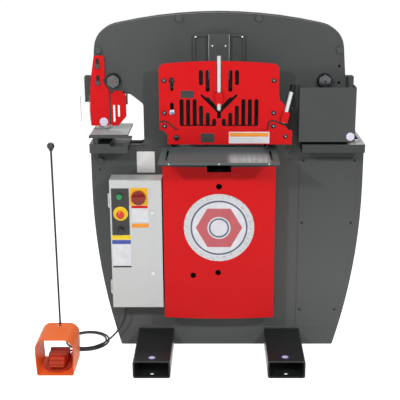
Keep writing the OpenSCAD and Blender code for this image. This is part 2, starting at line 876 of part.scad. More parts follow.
// Outline of the lower guard plate, with an ear round each of its upper screws
module lower_guard_outline() {
    ear = 20;
    ear_z = screw_rows[2];
    polygon(rounded([
        [11 - screw_col, guard_z0, 3], [screw_col + 75, guard_z0, 3], [screw_col + 75, seam_z - 1, 6],
        [screw_col + 58, seam_z + 1, 6], [screw_col + 49, seam_z + 17, 5], [screw_col + 4, ear_z + ear, 8],
        [screw_col - ear, ear_z + ear, 14], [screw_col - ear - 3, seam_z, 4], [49 - screw_col, seam_z, 6],
        [10 - screw_col, ear_z + ear - 3, 8], [-screw_col - 17, ear_z + ear, 14],
        [-screw_col - 17, ear_z - 8, 8], [11 - screw_col, guard_z0 + 41, 6]
    ]));
}

// The part of the lower guard plate that stands up on each side, where the seam is open
module guard_ears() {
    intersection() {
        lower_guard_outline();
        for (s = [-1, 1])
            translate([s * screw_col - 55, seam_z - 30]) square([s < 0 ? 110 : 26 + 110, 100]);
    }
}

// Outline of the upper guard plate, arched at the top and flared on the right for the flat hold-down
module upper_guard_outline() {
    top = [for (i = [0 : 8])
        let (x = guard_half * (1 - i / 4))
            [x, guard_top - guard_sag * pow(x / guard_half, 2), i == 0 || i == 8 ? 24 : 0]];
    polygon(rounded(concat(
        [
            [-guard_half, seam_z, 0], [screw_col + 30, seam_z, 0], [screw_col + 40, guard_z0 + 133, 6],
            [screw_col + 43, guard_z0 + 158, 5], [guard_half + 4, guard_z0 + 178, 10],
            [guard_half, guard_z0 + 222, 20]
        ],
        top
    )));
}

module comb_slots() {
    for (s = [-1, 1]) for (i = [0 : len(comb_tops) - 1])
        slot_y(s * (comb_first + comb_pitch * i), comb_z, guard_z0 + comb_tops[i], comb_slot_w,
            guard_y - past, guard_back + past);
    for (s = [-1, 1])
        block(s < 0 ? -comb_first - comb_pitch * 5 : comb_first,
            s < 0 ? -comb_first : comb_first + comb_pitch * 5,
            guard_y - past, guard_back + past, comb_z + 1, comb_z + 6);
}

// Frame of reference along the flat hold-down screw, whose tip is at the origin
module along_flat_screw() {
    translate([flat_tip[0], guard_axis_y, flat_tip[1]]) rotate([0, flat_tilt, 0]) children();
}

module centre_guard() {
    color(guard_red) difference() {
        union() {
            difference() {
                upright(guard_y, guard_t) upper_guard_outline();
                for (d = [[0, seam_gap], [-seam_gap, 0], [seam_gap, 0]])
                    upright(guard_y - past, guard_t + 2 * past) translate(d) guard_ears();
                block(-guard_half - 40, guard_half + 80, guard_y - past, guard_back + past,
                    guard_z0 - past, seam_z);
                comb_slots();
                for (s = [-1, 1]) {
                    slot_y(s * (comb_first + comb_pitch), guard_z0 + 210, guard_z0 + 296, comb_slot_w,
                        guard_y - past, guard_back + past);
                    slot_y(s * (comb_first + comb_pitch * 2), guard_z0 + 236, guard_z0 + 296, comb_slot_w,
                        guard_y - past, guard_back + past);
                }
                upright(guard_y - past, guard_t + 2 * past) vee_opening();
                block(-hold_down_d / 2 - 2, hold_down_d / 2 + 2, guard_y - past, guard_back + past,
                    collar_z, guard_top + past);
                for (s = [-1, 1]) for (i = [0, 1])
                    round_y(s * screw_col, screw_rows[i], screw_d / 2 + bolt_gap,
                        guard_y - past, guard_back + past);
                slot_y(adjuster_x, adjusters_z[0] - 38, adjusters_z[0] + 16, 14,
                    guard_y - past, guard_back + past);
                slot_y(adjuster_x, adjusters_z[1] - 8, adjusters_z[1] + 38, 14,
                    guard_y - past, guard_back + past);
            }
            block(-collar_w / 2, collar_w / 2, guard_axis_y - collar_w / 2, guard_axis_y + collar_w / 2,
                collar_z, collar_z + collar_h);
            along_flat_screw()
                block(-collar_w / 2, collar_w / 2, -collar_w / 2, collar_w / 2, 2, 2 + collar_h);
        }
        round_z(0, guard_axis_y, hold_down_d / 2 + fit_gap, collar_z - 60, guard_top + past);
        along_flat_screw() round_z(0, 0, hold_down_d / 2 + fit_gap, -20, flat_len + 60);
    }
}

module lower_guard() {
    color(guard_red) difference() {
        upright(guard_y, guard_t) lower_guard_outline();
        for (p = [[-screw_col, screw_rows[2]], [screw_col, screw_rows[2]], corner_screw, hung_screw])
            round_y(p[0], p[1], screw_d / 2 + bolt_gap, guard_y - past, guard_back + past);
    }
}

module guard_posts() {
    color(dark_steel) for (p = post_places()) difference() {
        round_y(p[0], p[1], post_r, guard_back, y_front);
        round_y(p[0], p[1], screw_d / 2 + bolt_gap, guard_back - past, y_front + past);
    }
}

// Screw with a nut close behind the guard
module guard_clamp(x, z) {
    button_head(x, z, guard_y, button_r + 2, button_h + 1);
    round_y(x, z, screw_d / 2, guard_y - 1, guard_back + 10);
    hex_y(x, z, 17, guard_back, guard_back + 8);
}

module button_screws() {
    color(dark_steel) {
        for (p = post_places()) {
            button_head(p[0], p[1], guard_y, button_r, button_h);
            round_y(p[0], p[1], screw_d / 2, guard_y - 1, y_front + plate_t - 3);
        }
        guard_clamp(hung_screw[0], hung_screw[1]);
        for (z = adjusters_z)
            guard_clamp(adjuster_x, z);
        for (p = panel_screws)
            button_head(p[0], p[1], y_front - panel_t, 5, 3);
    }
}

module angle_screw() {
    color(steel) union() {
        round_z(0, guard_axis_y, hold_down_d / 2, angle_screw_z[0] + 6, angle_screw_z[1]);
        translate([0, guard_axis_y, angle_screw_z[0]])
            cylinder(r1 = hold_down_d / 4, r2 = hold_down_d / 2, h = 6);
    }
}

module flat_screw() {
    color(steel) along_flat_screw() union() {
        round_z(0, 0, hold_down_d / 2, 0, flat_len + past);
        translate([0, 0, flat_len]) cylinder(r = hold_down_d * 0.62, h = flat_head_h, $fn = 6);
        round_x(0, 66, 3, 0, 20);
        round_x(0, 66, 5.5, 18, 22);
    }
}

// Table in front of the shear, with slots for a fence and a bracket below each side
module shear_table() {
    half = blade_len / 2 + table_margin;
    slot_x = half - 28;
    color(dark_steel) union() {
        difference() {
            block(-half, half, table_y, y_front, table_z - table_t, table_z);
            for (s = [-1, 1])
                block(s * slot_x - table_slot_w / 2, s * slot_x + table_slot_w / 2,
                    table_y + 34, y_front - 42, table_z - table_t - past, table_z + past);
        }
        for (s = [-1, 1])
            sideways(s * (cover_half - 32) - gusset_t / 2, gusset_t)
                polygon([
                    [y_front, table_z - table_t + past], [y_front - gusset_reach, table_z - table_t + past],
                    [y_front - gusset_reach, table_z - table_t - 12], [y_front, table_z - table_t - gusset_h]
                ]);
    }
}

// Covers

// Plan of the front cover's sheet at a given inset: two sides and a bowed face
function cover_plan(inset) = concat(
    [[-cover_half + inset, y_front]],
    [for (i = [0 : cover_steps])
        let (x = (cover_half - inset) * (2 * i / cover_steps - 1))
            [x, y_front - cover_reach - cover_bow * (1 - pow(x / cover_half, 2)) + inset]],
    [[cover_half - inset, y_front]]
);

module front_cover() {
    inner = cover_plan(sheet_t);
    color(guard_red) difference() {
        union() {
            translate([0, 0, cover_z]) linear_extrude(cover_top - cover_z)
                polygon(concat(cover_plan(0), [for (i = [len(inner) - 1 : -1 : 0]) inner[i]]));
            for (s = [-1, 1])
                block(s < 0 ? past - cover_half : cover_half - flange_w,
                    s < 0 ? flange_w - cover_half : cover_half - past,
                    y_front - sheet_t, y_front, cover_z, table_z - table_t - gusset_h - 20);
        }
        block(-cover_notch_w / 2, cover_notch_w / 2, y_front - cover_reach - cover_bow - past,
            y_front - cover_reach + 20, cover_top - cover_notch_h, cover_top + past);
        for (h = cover_holes)
            round_y(h[0], h[1], cover_hole_d / 2, y_front - cover_reach - cover_bow - past,
                y_front - cover_reach + 20);
    }
}

module side_panel() {
    edge = [for (i = [0 : side_steps])
        let (z = panel_z[0] + (panel_z[1] - panel_z[0]) * i / side_steps)
            [body_shift + side_x(min(z, waist_z)) - panel_inset, z]];
    color(frame_grey) upright(y_front - panel_t, panel_t)
        polygon(concat([[panel_x, panel_z[1]], [panel_x, panel_z[0]]], edge));
}

// Channel above the guard that houses the stroke stop
module stop_channel() {
    color(frame_grey) difference() {
        block(-101, 101, y_front - 14, y_front, window_z1 + 25, window_z1 + 213);
        block(-95, 95, y_front - 14 - past, y_front - 5, window_z1 + 25 - past, window_z1 + 213 - 6);
    }
}

module stop_cover() {
    z0 = window_z1 + 35;
    z1 = window_z1 + 218;
    color(frame_grey) difference() {
        block(-41, 41, y_front - 26, y_front - 14 - run_gap, z0, z1);
        block(-38, 38, y_front - 23, y_front - 14, z0 - past, z1 - 3);
        for (s = [-1, 1])
            round_y(s * 26, z1 - 47, 3, y_front - 26 - past, y_front - 22);
    }
    color(frame_grey) for (s = [-1, 1])
        block(s * 39.5 - 1.5, s * 39.5 + 1.5, y_front - 14 - run_gap, y_front - 5, z0, z1 - 12);
}

// Punch station

module punch_stripper() {
    x = -punch_x;
    color(guard_red) difference() {
        union() {
            upright(stripper_y, guard_t) polygon(rounded([
                [x - 17, strip_z + 283, 8], [x + 24, strip_z + 283, 10], [x + 25, strip_z + 194, 4],
                [x + 16, strip_z + 187, 3], [x + 19, strip_z + 180, 3], [x + 36, strip_z + 149, 8],
                [x + 39, strip_z + 138, 6], [x + 39, strip_z + 17, 4],
                [x + 35, strip_z, 3], [x - 37, strip_z, 3],
                [x - 39, strip_z + 64, 20], [x - 36, strip_z + 150, 20], [x - 30, strip_z + 202, 20]
            ]));
            block(x - 35, x + 34, stripper_y + guard_t - past, y_rear - 7, strip_z, strip_z + strip_foot_t);
        }
        for (z = strip_bolts_z)
            slot_y(strip_bolt_x, z - 7, z + 31, 14, stripper_y - past, stripper_y + guard_t + past);
        round_z(x, 0, shank_r + 4, strip_z - past, strip_z + strip_foot_t + past);
    }
}

module punch_gate() {
    z1 = upper_jaw_z + 13;
    y0 = y_front - guard_t;
    x0 = -punch_wall - 130;
    x1 = -punch_wall - 69;
    color(guard_red) union() {
        difference() {
            upright(y0, guard_t) polygon(rounded([
                [x0, strip_z, 3], [x0 + 28, strip_z, 5], [x1, strip_z + 38, 6], [x1, z1 - 20, 4],
                [x1 - 12, z1, 4], [x0, z1, 5]
            ]));
            slot_y(x0 + 12, strip_z + 15, strip_z + 85, 8, y0 - past, y0 + guard_t + past);
            slot_y(x0 + 31, strip_z + 36, strip_z + 85, 8, y0 - past, y0 + guard_t + past);
        }
        for (x = [x0 + 6, x1 - 8])
            button_head(x, z1 - 5, y0 + 1, 5, 4);
    }
}

// Clear shield round the outer side of the punch
module punch_shield() {
    x0 = -beam_half - 12;
    y0 = stripper_y + guard_t + run_gap / 2;
    color([0.85, 0.90, 0.92, 0.4]) difference() {
        block(x0 - shield_t, -punch_x - 24, y0, y_rear + 10, strip_z + 16, upper_jaw_z - 8);
        block(x0, -punch_x, y0 + shield_t, y_rear + 11, strip_z + 16 - past, upper_jaw_z);
    }
}

module die_bolster() {
    x = -punch_x;
    color(dark_steel) difference() {
        union() {
            block(bolster_x[0], bolster_x[1], y_front - bolster_reach, y_rear, bolster_z0, bolster_top);
            block(bolster_x[0], bolster_rear_x, y_rear - past, y_rear + bolster_reach, bolster_z0, bolster_top);
            block(x - 34, bolster_step_x, y_front + 4, y_rear - 4, bolster_top - past, gauge_z - gauge_t);
            round_z(bolster_step_x - 14, gauge_y[1] - 12, 9, bolster_top - past, gauge_z - gauge_t);
            round_z(gauge_x[0] + 22, gauge_y[0] + 34, 9, bolster_top - past, gauge_z - gauge_t);
        }
        block(bolster_step_x, bolster_x[1] + past, y_front - bolster_reach - past, y_rear + bolster_reach + past,
            bolster_top - bolster_step, bolster_top + past);
        block(bolster_x[0] - past, bolster_x[1] + past, y_front, y_rear, bolster_z0 - past, punch_jaw_z);
        round_z(x, 0, die_d / 2 + fit_gap, die_z, gauge_z);
        round_z(x, 0, slug_r, bolster_z0 - past, gauge_z);
    }
}

module punch_die() {
    color(steel) difference() {
        round_z(-punch_x, 0, die_d / 2, die_z, gauge_z);
        round_z(-punch_x, 0, punch_d / 2 + 0.5, die_z - past, gauge_z + past);
        round_z(-punch_x, 0, slug_r - 1, die_z - past, gauge_z - 10);
    }
}

module punch_table() {
    color(steel) difference() {
        block(gauge_x[0], gauge_x[1], gauge_y[0], gauge_y[1], gauge_z - gauge_t, gauge_z);
        round_z(-punch_x, 0, die_d / 2 + 1, gauge_z - gauge_t - past, gauge_z + past);
    }
}

module punch_ram() {
    x = -punch_x;
    color(dark_steel) union() {
        block(-beam_half, x + 52, -beam_t / 2, beam_t / 2, ram_z, beam_z);
        round_z(x, 0, stem_r, nut_z + nut_shoulder + punch_head_h, ram_z + past);
    }
}

// Punch and the coupling nut that holds its head against the ram
module punch() {
    x = -punch_x;
    head_z = nut_z + nut_shoulder;
    color(steel) union() {
        round_z(x, 0, stem_r - 1, head_z, head_z + punch_head_h);
        round_z(x, 0, shank_r, punch_tip_z + 16, head_z + past);
        round_z(x, 0, punch_d / 2, punch_tip_z, punch_tip_z + 17);
    }
    color(dark_steel) difference() {
        round_z(x, 0, nut_r, nut_z, ram_z - 3);
        round_z(x, 0, stem_r + fit_gap, head_z, ram_z);
        round_z(x, 0, shank_r + fit_gap, nut_z - past, ram_z);
    }
}

// Notcher

module notcher_ram() {
    half = notch_w / 2 - bolt_gap;
    tip_z = notch_top + blade_gap + 2;
    color(dark_steel) union() {
        block(notch_x0 + 5, beam_half, -beam_t / 2, beam_t / 2, upper_jaw_z - 50, beam_z);
        block(notch_x0 + bolt_gap, beam_half, -half, half, tip_z + 40, upper_jaw_z - 42);
    }
    color(steel) sideways(notch_x0 + bolt_gap, beam_half - notch_x0 - bolt_gap)
        polygon([
            [-half, tip_z + 40], [-half, tip_z], [-half + 18, tip_z], [-half + 24, tip_z + 6],
            [half - 24, tip_z + 6], [half - 18, tip_z], [half, tip_z], [half, tip_z + 40]
        ]);
}

module notcher_bolster() {
    half = notch_w / 2;
    z0 = notch_jaw_z;
    color(dark_steel) difference() {
        block(notch_table_x[0], notch_table_x[1], y_front - notch_table_reach, y_rear + notch_table_reach,
            z0, notch_top);
        block(notch_table_x[0] - past, notch_wall + throat_r + past, y_front - run_gap, y_rear + run_gap,
            z0 - past, notch_top + past);
        block(notch_x0, notch_x1, -half, half, z0 - past, notch_top + past);
        block(notch_x0 - notch_bar, notch_x1, -half - notch_bar, half + notch_bar,
            notch_top - notch_bar_h, notch_top + past);
    }
}

module notcher_die() {
    half = notch_w / 2;
    z0 = notch_top - notch_bar_h;
    color(steel) {
        block(notch_x0 - notch_bar, notch_x0, -half - notch_bar, half + notch_bar, z0, notch_top);
        for (s = [-1, 1])
            block(notch_x0, notch_x1,
                s < 0 ? -half - notch_bar : half, s < 0 ? -half : half + notch_bar,
                z0, notch_top);
    }
}

// Folded sheet round the front of the notcher, closed at both ends and open above and below
module notcher_guard() {
    x0 = notch_guard_x[0];
    x1 = notch_guard_x[1];
    z0 = notch_top + notch_gap;
    color(frame_grey) union() {
        block(x0, x1, notch_guard_y, notch_guard_y + sheet_t, z0, notch_guard_top);
        for (x = [x0, x1 - sheet_t])
            block(x, x + sheet_t, notch_guard_y, y_front - run_gap, z0, notch_guard_top);
        block(x0, x0 + 24, y_front - sheet_t, y_front, z0, notch_guard_top);
    }
}

// Control box

module control_box() {
    z1 = box_z + box_h;
    color(box_grey) union() {
        difference() {
            block(box_x0, box_x1, shell_front, y_front, box_z, z1);
            block(box_x0 + box_t, box_x1 - box_t, shell_front - past, y_front - box_t,
                box_z + box_t, z1 - box_t);
        }
        for (z = hinges_z) {
            round_z(hinge_axis[0], hinge_axis[1], hinge_r, z - knuckle / 2, z + knuckle / 2);
            round_z(hinge_axis[0], hinge_axis[1], hinge_pin_r, z - 1.4 * knuckle, z + 1.4 * knuckle);
            block(hinge_axis[0] - 1, hinge_axis[0] + 1, hinge_axis[1], shell_front + 12,
                z - knuckle / 2, z + knuckle / 2);
            block(hinge_axis[0] - 1, box_x0, shell_front + 2, shell_front + 12,
                z - knuckle / 2, z + knuckle / 2);
        }
    }
}

// Shallow pan with a hole for each control and half of each hinge
module control_door() {
    z1 = box_z + box_h;
    back = box_front + door_d;
    color(box_grey) difference() {
        union() {
            difference() {
                block(box_x0, box_x1, box_front, back, box_z, z1);
                block(box_x0 + box_t, box_x1 - box_t, box_front + box_t, back + past,
                    box_z + box_t, z1 - box_t);
            }
            for (z = hinges_z) for (f = [-1, 1]) {
                k0 = f < 0 ? z - 1.4 * knuckle : z + knuckle / 2 + run_gap;
                k1 = f < 0 ? z - knuckle / 2 - run_gap : z + 1.4 * knuckle;
                round_z(hinge_axis[0], hinge_axis[1], hinge_r, k0, k1);
                block(hinge_axis[0], box_x0 + 1, box_front + 2, hinge_axis[1], k0, k1);
            }
        }
        for (z = hinges_z)
            round_z(hinge_axis[0], hinge_axis[1], hinge_pin_r + fit_gap, z - 2 * knuckle, z + 2 * knuckle);
        for (c = [start_at, estop_at, selector_at, disconnect_at])
            round_y(c[0], c[1], stem_d / 2 + fit_gap, box_front - past, box_front + box_t + past);
        for (z = latches_z)
            round_y(latch_x, z, latch_r * 0.6 + fit_gap, box_front - past, box_front + box_t + past);
    }
}

// Stem of a control through the door, with a collar inside that keeps it there
module control_stem(at) {
    round_y(at[0], at[1], stem_d / 2, box_front - 6, box_front + box_t + 10);
    round_y(at[0], at[1], stem_d / 2 + 3, box_front + box_t + run_gap, box_front + box_t + run_gap + 3);
}

module start_button() {
    color([0.10, 0.55, 0.25]) union() {
        control_stem(start_at);
        round_y(start_at[0], start_at[1], 11.5, box_front - 12, box_front - button_travel - run_gap);
    }
}

module estop_button() {
    x = estop_at[0];
    z = estop_at[1];
    color([0.85, 0.12, 0.10]) union() {
        control_stem(estop_at);
        round_y(x, z, 10, box_front - 20, box_front - button_travel - run_gap);
        translate([x, box_front - 16, z]) rotate([90, 0, 0]) rotate_extrude()
            polygon(concat([[0, 0], [estop_d / 2 - 2, 0]],
                [for (i = [0 : 8]) let (a = 90 * i / 8) [estop_d / 2 * cos(a), 3 + 10 * sin(a)]]));
    }
}

module selector_knob() {
    x = selector_at[0];
    z = selector_at[1];
    color(tube_black) union() {
        control_stem(selector_at);
        round_y(x, z, 15, box_front - 9, box_front - run_gap);
        translate([x, 0, z]) rotate([0, 40, 0]) translate([-x, 0, -z])
            block(x - 5, x + 5, box_front - 20, box_front - 8, z - 16, z + 14);
    }
}

module disconnect_knob() {
    x = disconnect_at[0];
    z = disconnect_at[1];
    color([0.55, 0.06, 0.06]) union() {
        control_stem(disconnect_at);
        round_y(x, z, disconnect_d / 2, box_front - 14, box_front - run_gap);
        block(x - disconnect_d * 0.45, x + disconnect_d * 0.45, box_front - 32, box_front - 13, z - 9, z + 9);
    }
}

// Slotted quarter-turn latch with a tongue behind the door
module latch(z) {
    color(steel) union() {
        difference() {
            round_y(latch_x, z, latch_r, box_front - 6, box_front - run_gap);
            block(latch_x - 1.5, latch_x + 1.5, box_front - 6 - past, box_front - 3,
                z - latch_r, z + latch_r);
        }
        round_y(latch_x, z, latch_r * 0.6, box_front - 2, box_front + box_t + 6);
        block(latch_x - 6, latch_x + 24, box_front + box_t + 3, box_front + box_t + 6, z - 6, z + 6);
    }
}

module latch_upper() {
    latch(latches_z[0]);
}

module latch_lower() {
    latch(latches_z[1]);
}

module box_gland() {
    z = box_z;
    color(tube_black) union() {
        round_z(box_gland_x, box_gland_y, 14, z - 5, z);
        translate([box_gland_x, box_gland_y, z - 15]) cylinder(r = 14, h = 10.5, $fn = 6);
        translate([box_gland_x, box_gland_y, z - box_gland_h])
            cylinder(r1 = 7, r2 = 11, h = box_gland_h - 14);
    }
}

// Power unit behind the frame

module oil_tank() {
    z1 = tube_h + tank_h;
    y0 = tank_y[0];
    y1 = tank_y[1];
    neck = [tank_half - 45, y1 - 45];
    color(frame_grey) difference() {
        union() {
            translate([0, 0, tube_h]) linear_extrude(tank_h) polygon(rect(-tank_half, tank_half, y0, y1, 14));
            translate([0, 0, z1 - 1]) linear_extrude(7)
                polygon(rect(-tank_half - 8, tank_half + 8, y0 - 8, y1 + 8, 14));
            round_z(neck[0], neck[1], 22, z1, z1 + 30);
        }
        translate([0, 0, tube_h + tank_wall]) linear_extrude(tank_h - 2 * tank_wall)
            polygon(rect(-tank_half + tank_wall, tank_half - tank_wall, y0 + tank_wall, y1 - tank_wall, 10));
        round_z(neck[0], neck[1], 16, z1 - 2 * tank_wall, z1 + 30 + past);
    }
    color(tube_black) round_z(neck[0], neck[1], 26, z1 + 30, z1 + 46);
}

// Finned motor lying along X on two feet
module pump_motor() {
    x0 = motor_x1 - motor_len;
    z0 = tube_h + tank_h + 6;
    color(dark_steel) union() {
        round_x(motor_y, motor_z, motor_r - 8, x0, x0 + motor_len);
        for (a = [0 : 12 : 348])
            translate([x0 + 0.11 * motor_len, motor_y, motor_z]) rotate([a, 0, 0])
                translate([0, -1.5, motor_r - 10]) cube([0.74 * motor_len, 3, 10]);
        round_x(motor_y, motor_z, motor_r, x0 - 0.15 * motor_len, x0 + 0.1 * motor_len);
        round_x(motor_y, motor_z, motor_r, x0 + 0.87 * motor_len, x0 + motor_len);
        for (x = [x0 + 0.18 * motor_len, x0 + 0.67 * motor_len])
            block(x, x + 0.15 * motor_len, motor_y - 0.8 * motor_r, motor_y + 0.8 * motor_r,
                z0, motor_z - 0.67 * motor_r);
    }
}

module pump_unit() {
    x0 = motor_x1;
    z0 = tube_h + tank_h + 6;
    color(steel) union() {
        round_x(motor_y, motor_z, 0.72 * motor_r, x0, x0 + 0.56 * motor_r);
        block(x0 + 0.55 * motor_r, x0 + 1.4 * motor_r, motor_y - 0.42 * motor_r, motor_y + 0.42 * motor_r,
            motor_z - motor_r / 2, motor_z + motor_r / 2);
    }
    color(steel) block(valve_x - valve_w / 2, valve_x + valve_w / 2, tank_y[0] + 8, tank_y[0] + 68,
        z0, z0 + valve_h);
}

// Bend of a line in the plane through X and Z
module line_bend(x, y, z, r, start) {
    translate([x, y, z]) rotate([90, 0, 0]) rotate([0, 0, start]) rotate_extrude(angle = 90)
        translate([r, 0]) circle(r = line_r);
}

// Rigid lines from the valve block up to the two ports of the cylinder
module oil_lines() {
    y = line_y;
    z0 = tube_h + tank_h + 6 + valve_h;
    bend = 30;
    ports = [barrel_z + 24, barrel_top_z - cap_h - 6];
    color(tube_black) for (i = [0, 1]) {
        x = valve_x - 20 + 40 * i;
        union() {
            round_z(x, y, line_r, z0, ports[i] - bend);
            line_bend(x - bend, y, ports[i] - bend, bend, 0);
            round_x(y, ports[i], line_r, 0, x - bend);
            sphere_at([0, y, ports[i]], line_r);
        }
    }
}

// Foot pedal

function hood_profile(inset) =
    let (
        low = hood_w / 2 - inset,
        mid = low + hood_bulge,
        corner = inset == 0 ? 6 : 3,
        shoulder = hood_shoulder_r - inset,
        right = [[low, inset, corner], [mid, hood_h * 0.55, 30],
            [mid - 1, hood_h - hood_chamfer - inset / 2, shoulder],
            [mid - hood_chamfer, hood_h - inset, shoulder]]
    )
    rounded([for (p = concat(right, mirrored(right))) [p[0] - pedal_x, p[1], p[2]]]);

module pedal_hood() {
    color(pedal_orange) difference() {
        upright(hood_front, hood_d) polygon(hood_profile(0));
        upright(hood_front - past, hood_d + 2 * past) polygon(hood_profile(hood_t));
        round_z(-pedal_x, carry_y, carry_d / 2 + fit_gap, hood_h - hood_t - past, hood_h + past);
        round_z(-pedal_x, carry_y - 18, 8.5, hood_h - hood_t - past, hood_h + past);
    }
}

// Low pan with a round nose, two cheeks for the treadle and the switch body behind it
module pedal_base() {
    z0 = hood_t;
    nose_y = hood_front + 72;
    color(treadle_red) difference() {
        union() {
            round_z(-pedal_x, nose_y, 52, z0, z0 + base_h);
            block(-pedal_x - 52, -pedal_x + 52, nose_y, hood_rear - 16, z0, z0 + base_h);
            for (s = [-1, 1])
                sideways(-pedal_x + s * cheek_x - cheek_t / 2, cheek_t)
                    polygon(rounded([[pivot_y - 24, z0 + 1, 2], [hood_rear - 16, z0 + 1, 2],
                        [hood_rear - 16, pivot_z + 9, 4], [pivot_y - 9, pivot_z + 9, 6]]));
            block(-pedal_x - cheek_x, -pedal_x + cheek_x, hood_rear - 22, hood_rear - 16, z0, pivot_z);
        }
        round_x(pivot_y, pivot_z, trunnion_r + fit_gap, -pedal_x - 60, -pedal_x + 60);
    }
}

// Treadle that narrows to its nose, with grooves across its pad and a stub axle at each side
module treadle() {
    nose = hood_front + 27;
    heel = pivot_y + 6;
    top = pivot_z + 38;
    side = [[heel, pivot_z - 10, 3], [heel, top, 8], [nose + 34, top - 4, 10], [nose, pivot_z + 2, 4],
        [nose + 4, pivot_z - 4, 2]];
    plan = [[treadle_half - 2, heel], [treadle_half - 12, nose]];
    color(treadle_red) union() {
        difference() {
            intersection() {
                sideways(-pedal_x - treadle_half, 2 * treadle_half) polygon(rounded(side));
                translate([-pedal_x, 0, 0]) linear_extrude(top + past) polygon(rounded([
                    [plan[0][0], plan[0][1] + past, 0], [-plan[0][0], plan[0][1] + past, 0],
                    [-plan[1][0], plan[1][1], 10], [plan[1][0], plan[1][1], 10]
                ]));
            }
            for (i = [0 : 3])
                block(-pedal_x - treadle_half, -pedal_x + treadle_half,
                    heel - 18 - 12 * i, heel - 15 - 12 * i, top - 2 - i / 2, top + past);
        }
        round_x(pivot_y, pivot_z, trunnion_r,
            -pedal_x - cheek_x - cheek_t / 2, -pedal_x + cheek_x + cheek_t / 2);
    }
}

module carry_rod() {
    color(tube_black) union() {
        round_z(-pedal_x, carry_y, carry_d / 2, hood_h - hood_t - 9, ball_z - ball_d / 2 + 8);
        round_z(-pedal_x, carry_y, 0.8 * carry_d, hood_h, hood_h + 3);
        translate([-pedal_x, carry_y, hood_h - hood_t - 6]) cylinder(r = carry_d, h = 6, $fn = 6);
    }
}

module carry_knob() {
    color(tube_black) difference() {
        union() {
            translate([-pedal_x, carry_y, ball_z]) sphere(d = ball_d);
            round_z(-pedal_x, carry_y, ball_d * 0.28, ball_z - ball_d / 2 - 3, ball_z);
        }
        round_z(-pedal_x, carry_y, carry_d / 2 + fit_gap, ball_z - ball_d, ball_z - ball_d / 2 + 8);
    }
}

module pedal_gland() {
    color(tube_black) union() {
        round_y(pedal_gland_x, pedal_gland_z, 9, hood_rear - 16, hood_rear - 10);
        translate([pedal_gland_x, hood_rear - 16 + pedal_gland_len, pedal_gland_z]) rotate([90, 0, 0])
            cylinder(r1 = 5.5, r2 = 8, h = pedal_gland_len);
    }
}

// One tube along the whole cord
module foot_cord() {
    n = len(cord_points);
    tangents = [for (i = [0 : n - 1]) unit(cord_points[min(i + 1, n - 1)] - cord_points[max(i - 1, 0)])];
    normals = carry(tangents, 0, [0, 1, 0]);
    ring = [for (i = [0 : n - 1]) for (k = [0 : cord_sides - 1])
        let (a = 360 * k / cord_sides)
            cord_points[i] + cord_d / 2 * (cos(a) * normals[i] + sin(a) * cross(tangents[i], normals[i]))];
    last = (n - 1) * cord_sides;
    skin = [for (i = [0 : n - 2]) for (k = [0 : cord_sides - 1])
        let (a = i * cord_sides + k, b = i * cord_sides + (k + 1) % cord_sides)
            each [[a, a + cord_sides, b], [b, a + cord_sides, b + cord_sides]]];
    caps = [for (k = [1 : cord_sides - 2]) each [[0, k, k + 1], [last, last + k + 1, last + k]]];
    color(tube_black) polyhedron(points = ring, faces = concat(skin, caps));
}

front_plate();
rear_plate();
frame_spacers();
tie_bolts();
base_tube_left();
base_tube_right();
guide_studs();
wear_pads();
centre_guard();
lower_guard();
guard_posts();
button_screws();
shear_table();
front_cover();
side_panel();
stop_channel();
stop_cover();
punch_gate();
punch_shield();
die_bolster();
punch_die();
punch_table();
notcher_guard();
notcher_bolster();
notcher_die();
lower_blade();
cylinder_barrel();
cylinder_gland();
control_box();
oil_tank();
pump_motor();
pump_unit();
oil_lines();
pedal_hood();
pedal_base();
carry_rod();
carry_knob();
box_gland();
pedal_gland();
foot_cord();
punch_stripper();
beam();
draw_links();
link_pins();
crosshead();
piston_rod();
punch_ram();
punch();
notcher_ram();
upper_blade();
angle_screw();
flat_screw();
control_door();
start_button();
estop_button();
selector_knob();
disconnect_knob();
latch_upper();
latch_lower();
treadle();
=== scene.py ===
import bpy
import bmesh
import math
from mathutils import Matrix, Vector


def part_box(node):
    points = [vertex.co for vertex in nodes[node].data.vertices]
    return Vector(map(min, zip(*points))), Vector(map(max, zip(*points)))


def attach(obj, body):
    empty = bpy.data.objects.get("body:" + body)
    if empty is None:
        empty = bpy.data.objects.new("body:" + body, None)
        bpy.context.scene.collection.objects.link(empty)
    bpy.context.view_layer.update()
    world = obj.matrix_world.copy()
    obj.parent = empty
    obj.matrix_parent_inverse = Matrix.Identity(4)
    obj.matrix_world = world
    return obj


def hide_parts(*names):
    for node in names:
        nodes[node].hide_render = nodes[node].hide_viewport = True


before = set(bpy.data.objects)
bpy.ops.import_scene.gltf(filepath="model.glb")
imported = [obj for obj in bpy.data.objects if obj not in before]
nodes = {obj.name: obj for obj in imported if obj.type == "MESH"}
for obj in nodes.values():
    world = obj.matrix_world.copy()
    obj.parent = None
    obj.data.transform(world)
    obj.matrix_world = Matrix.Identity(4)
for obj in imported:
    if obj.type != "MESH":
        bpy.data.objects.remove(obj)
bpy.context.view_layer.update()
scene = bpy.context.scene
scene.view_settings.view_transform = "Standard"
MM = 0.001
FULL_TURN = 2 * math.pi

# Camera of the photograph, in metres, before the middle of the frame
EYE = (0, -3.6474, 1.7094)
LOOK_DOWN = 16.3
LENS = 81
SENSOR = 36
SIDE_SHIFT = -0.0475
FAR_CLIP = 200

cam_data = bpy.data.cameras.new("camera")
cam_data.lens = LENS
cam_data.sensor_width = SENSOR
cam_data.shift_x = SIDE_SHIFT
cam_data.clip_end = FAR_CLIP
cam = bpy.data.objects.new("camera", cam_data)
cam.location = EYE
cam.rotation_euler = (math.radians(90 - LOOK_DOWN), 0, 0)
scene.collection.objects.link(cam)
scene.camera = cam


# Faces of the CAD nodes that pieces lie on, in mm
def front(name):
    """Depth of a node's front."""
    return round(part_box(name)[0][1] / MM, 1)


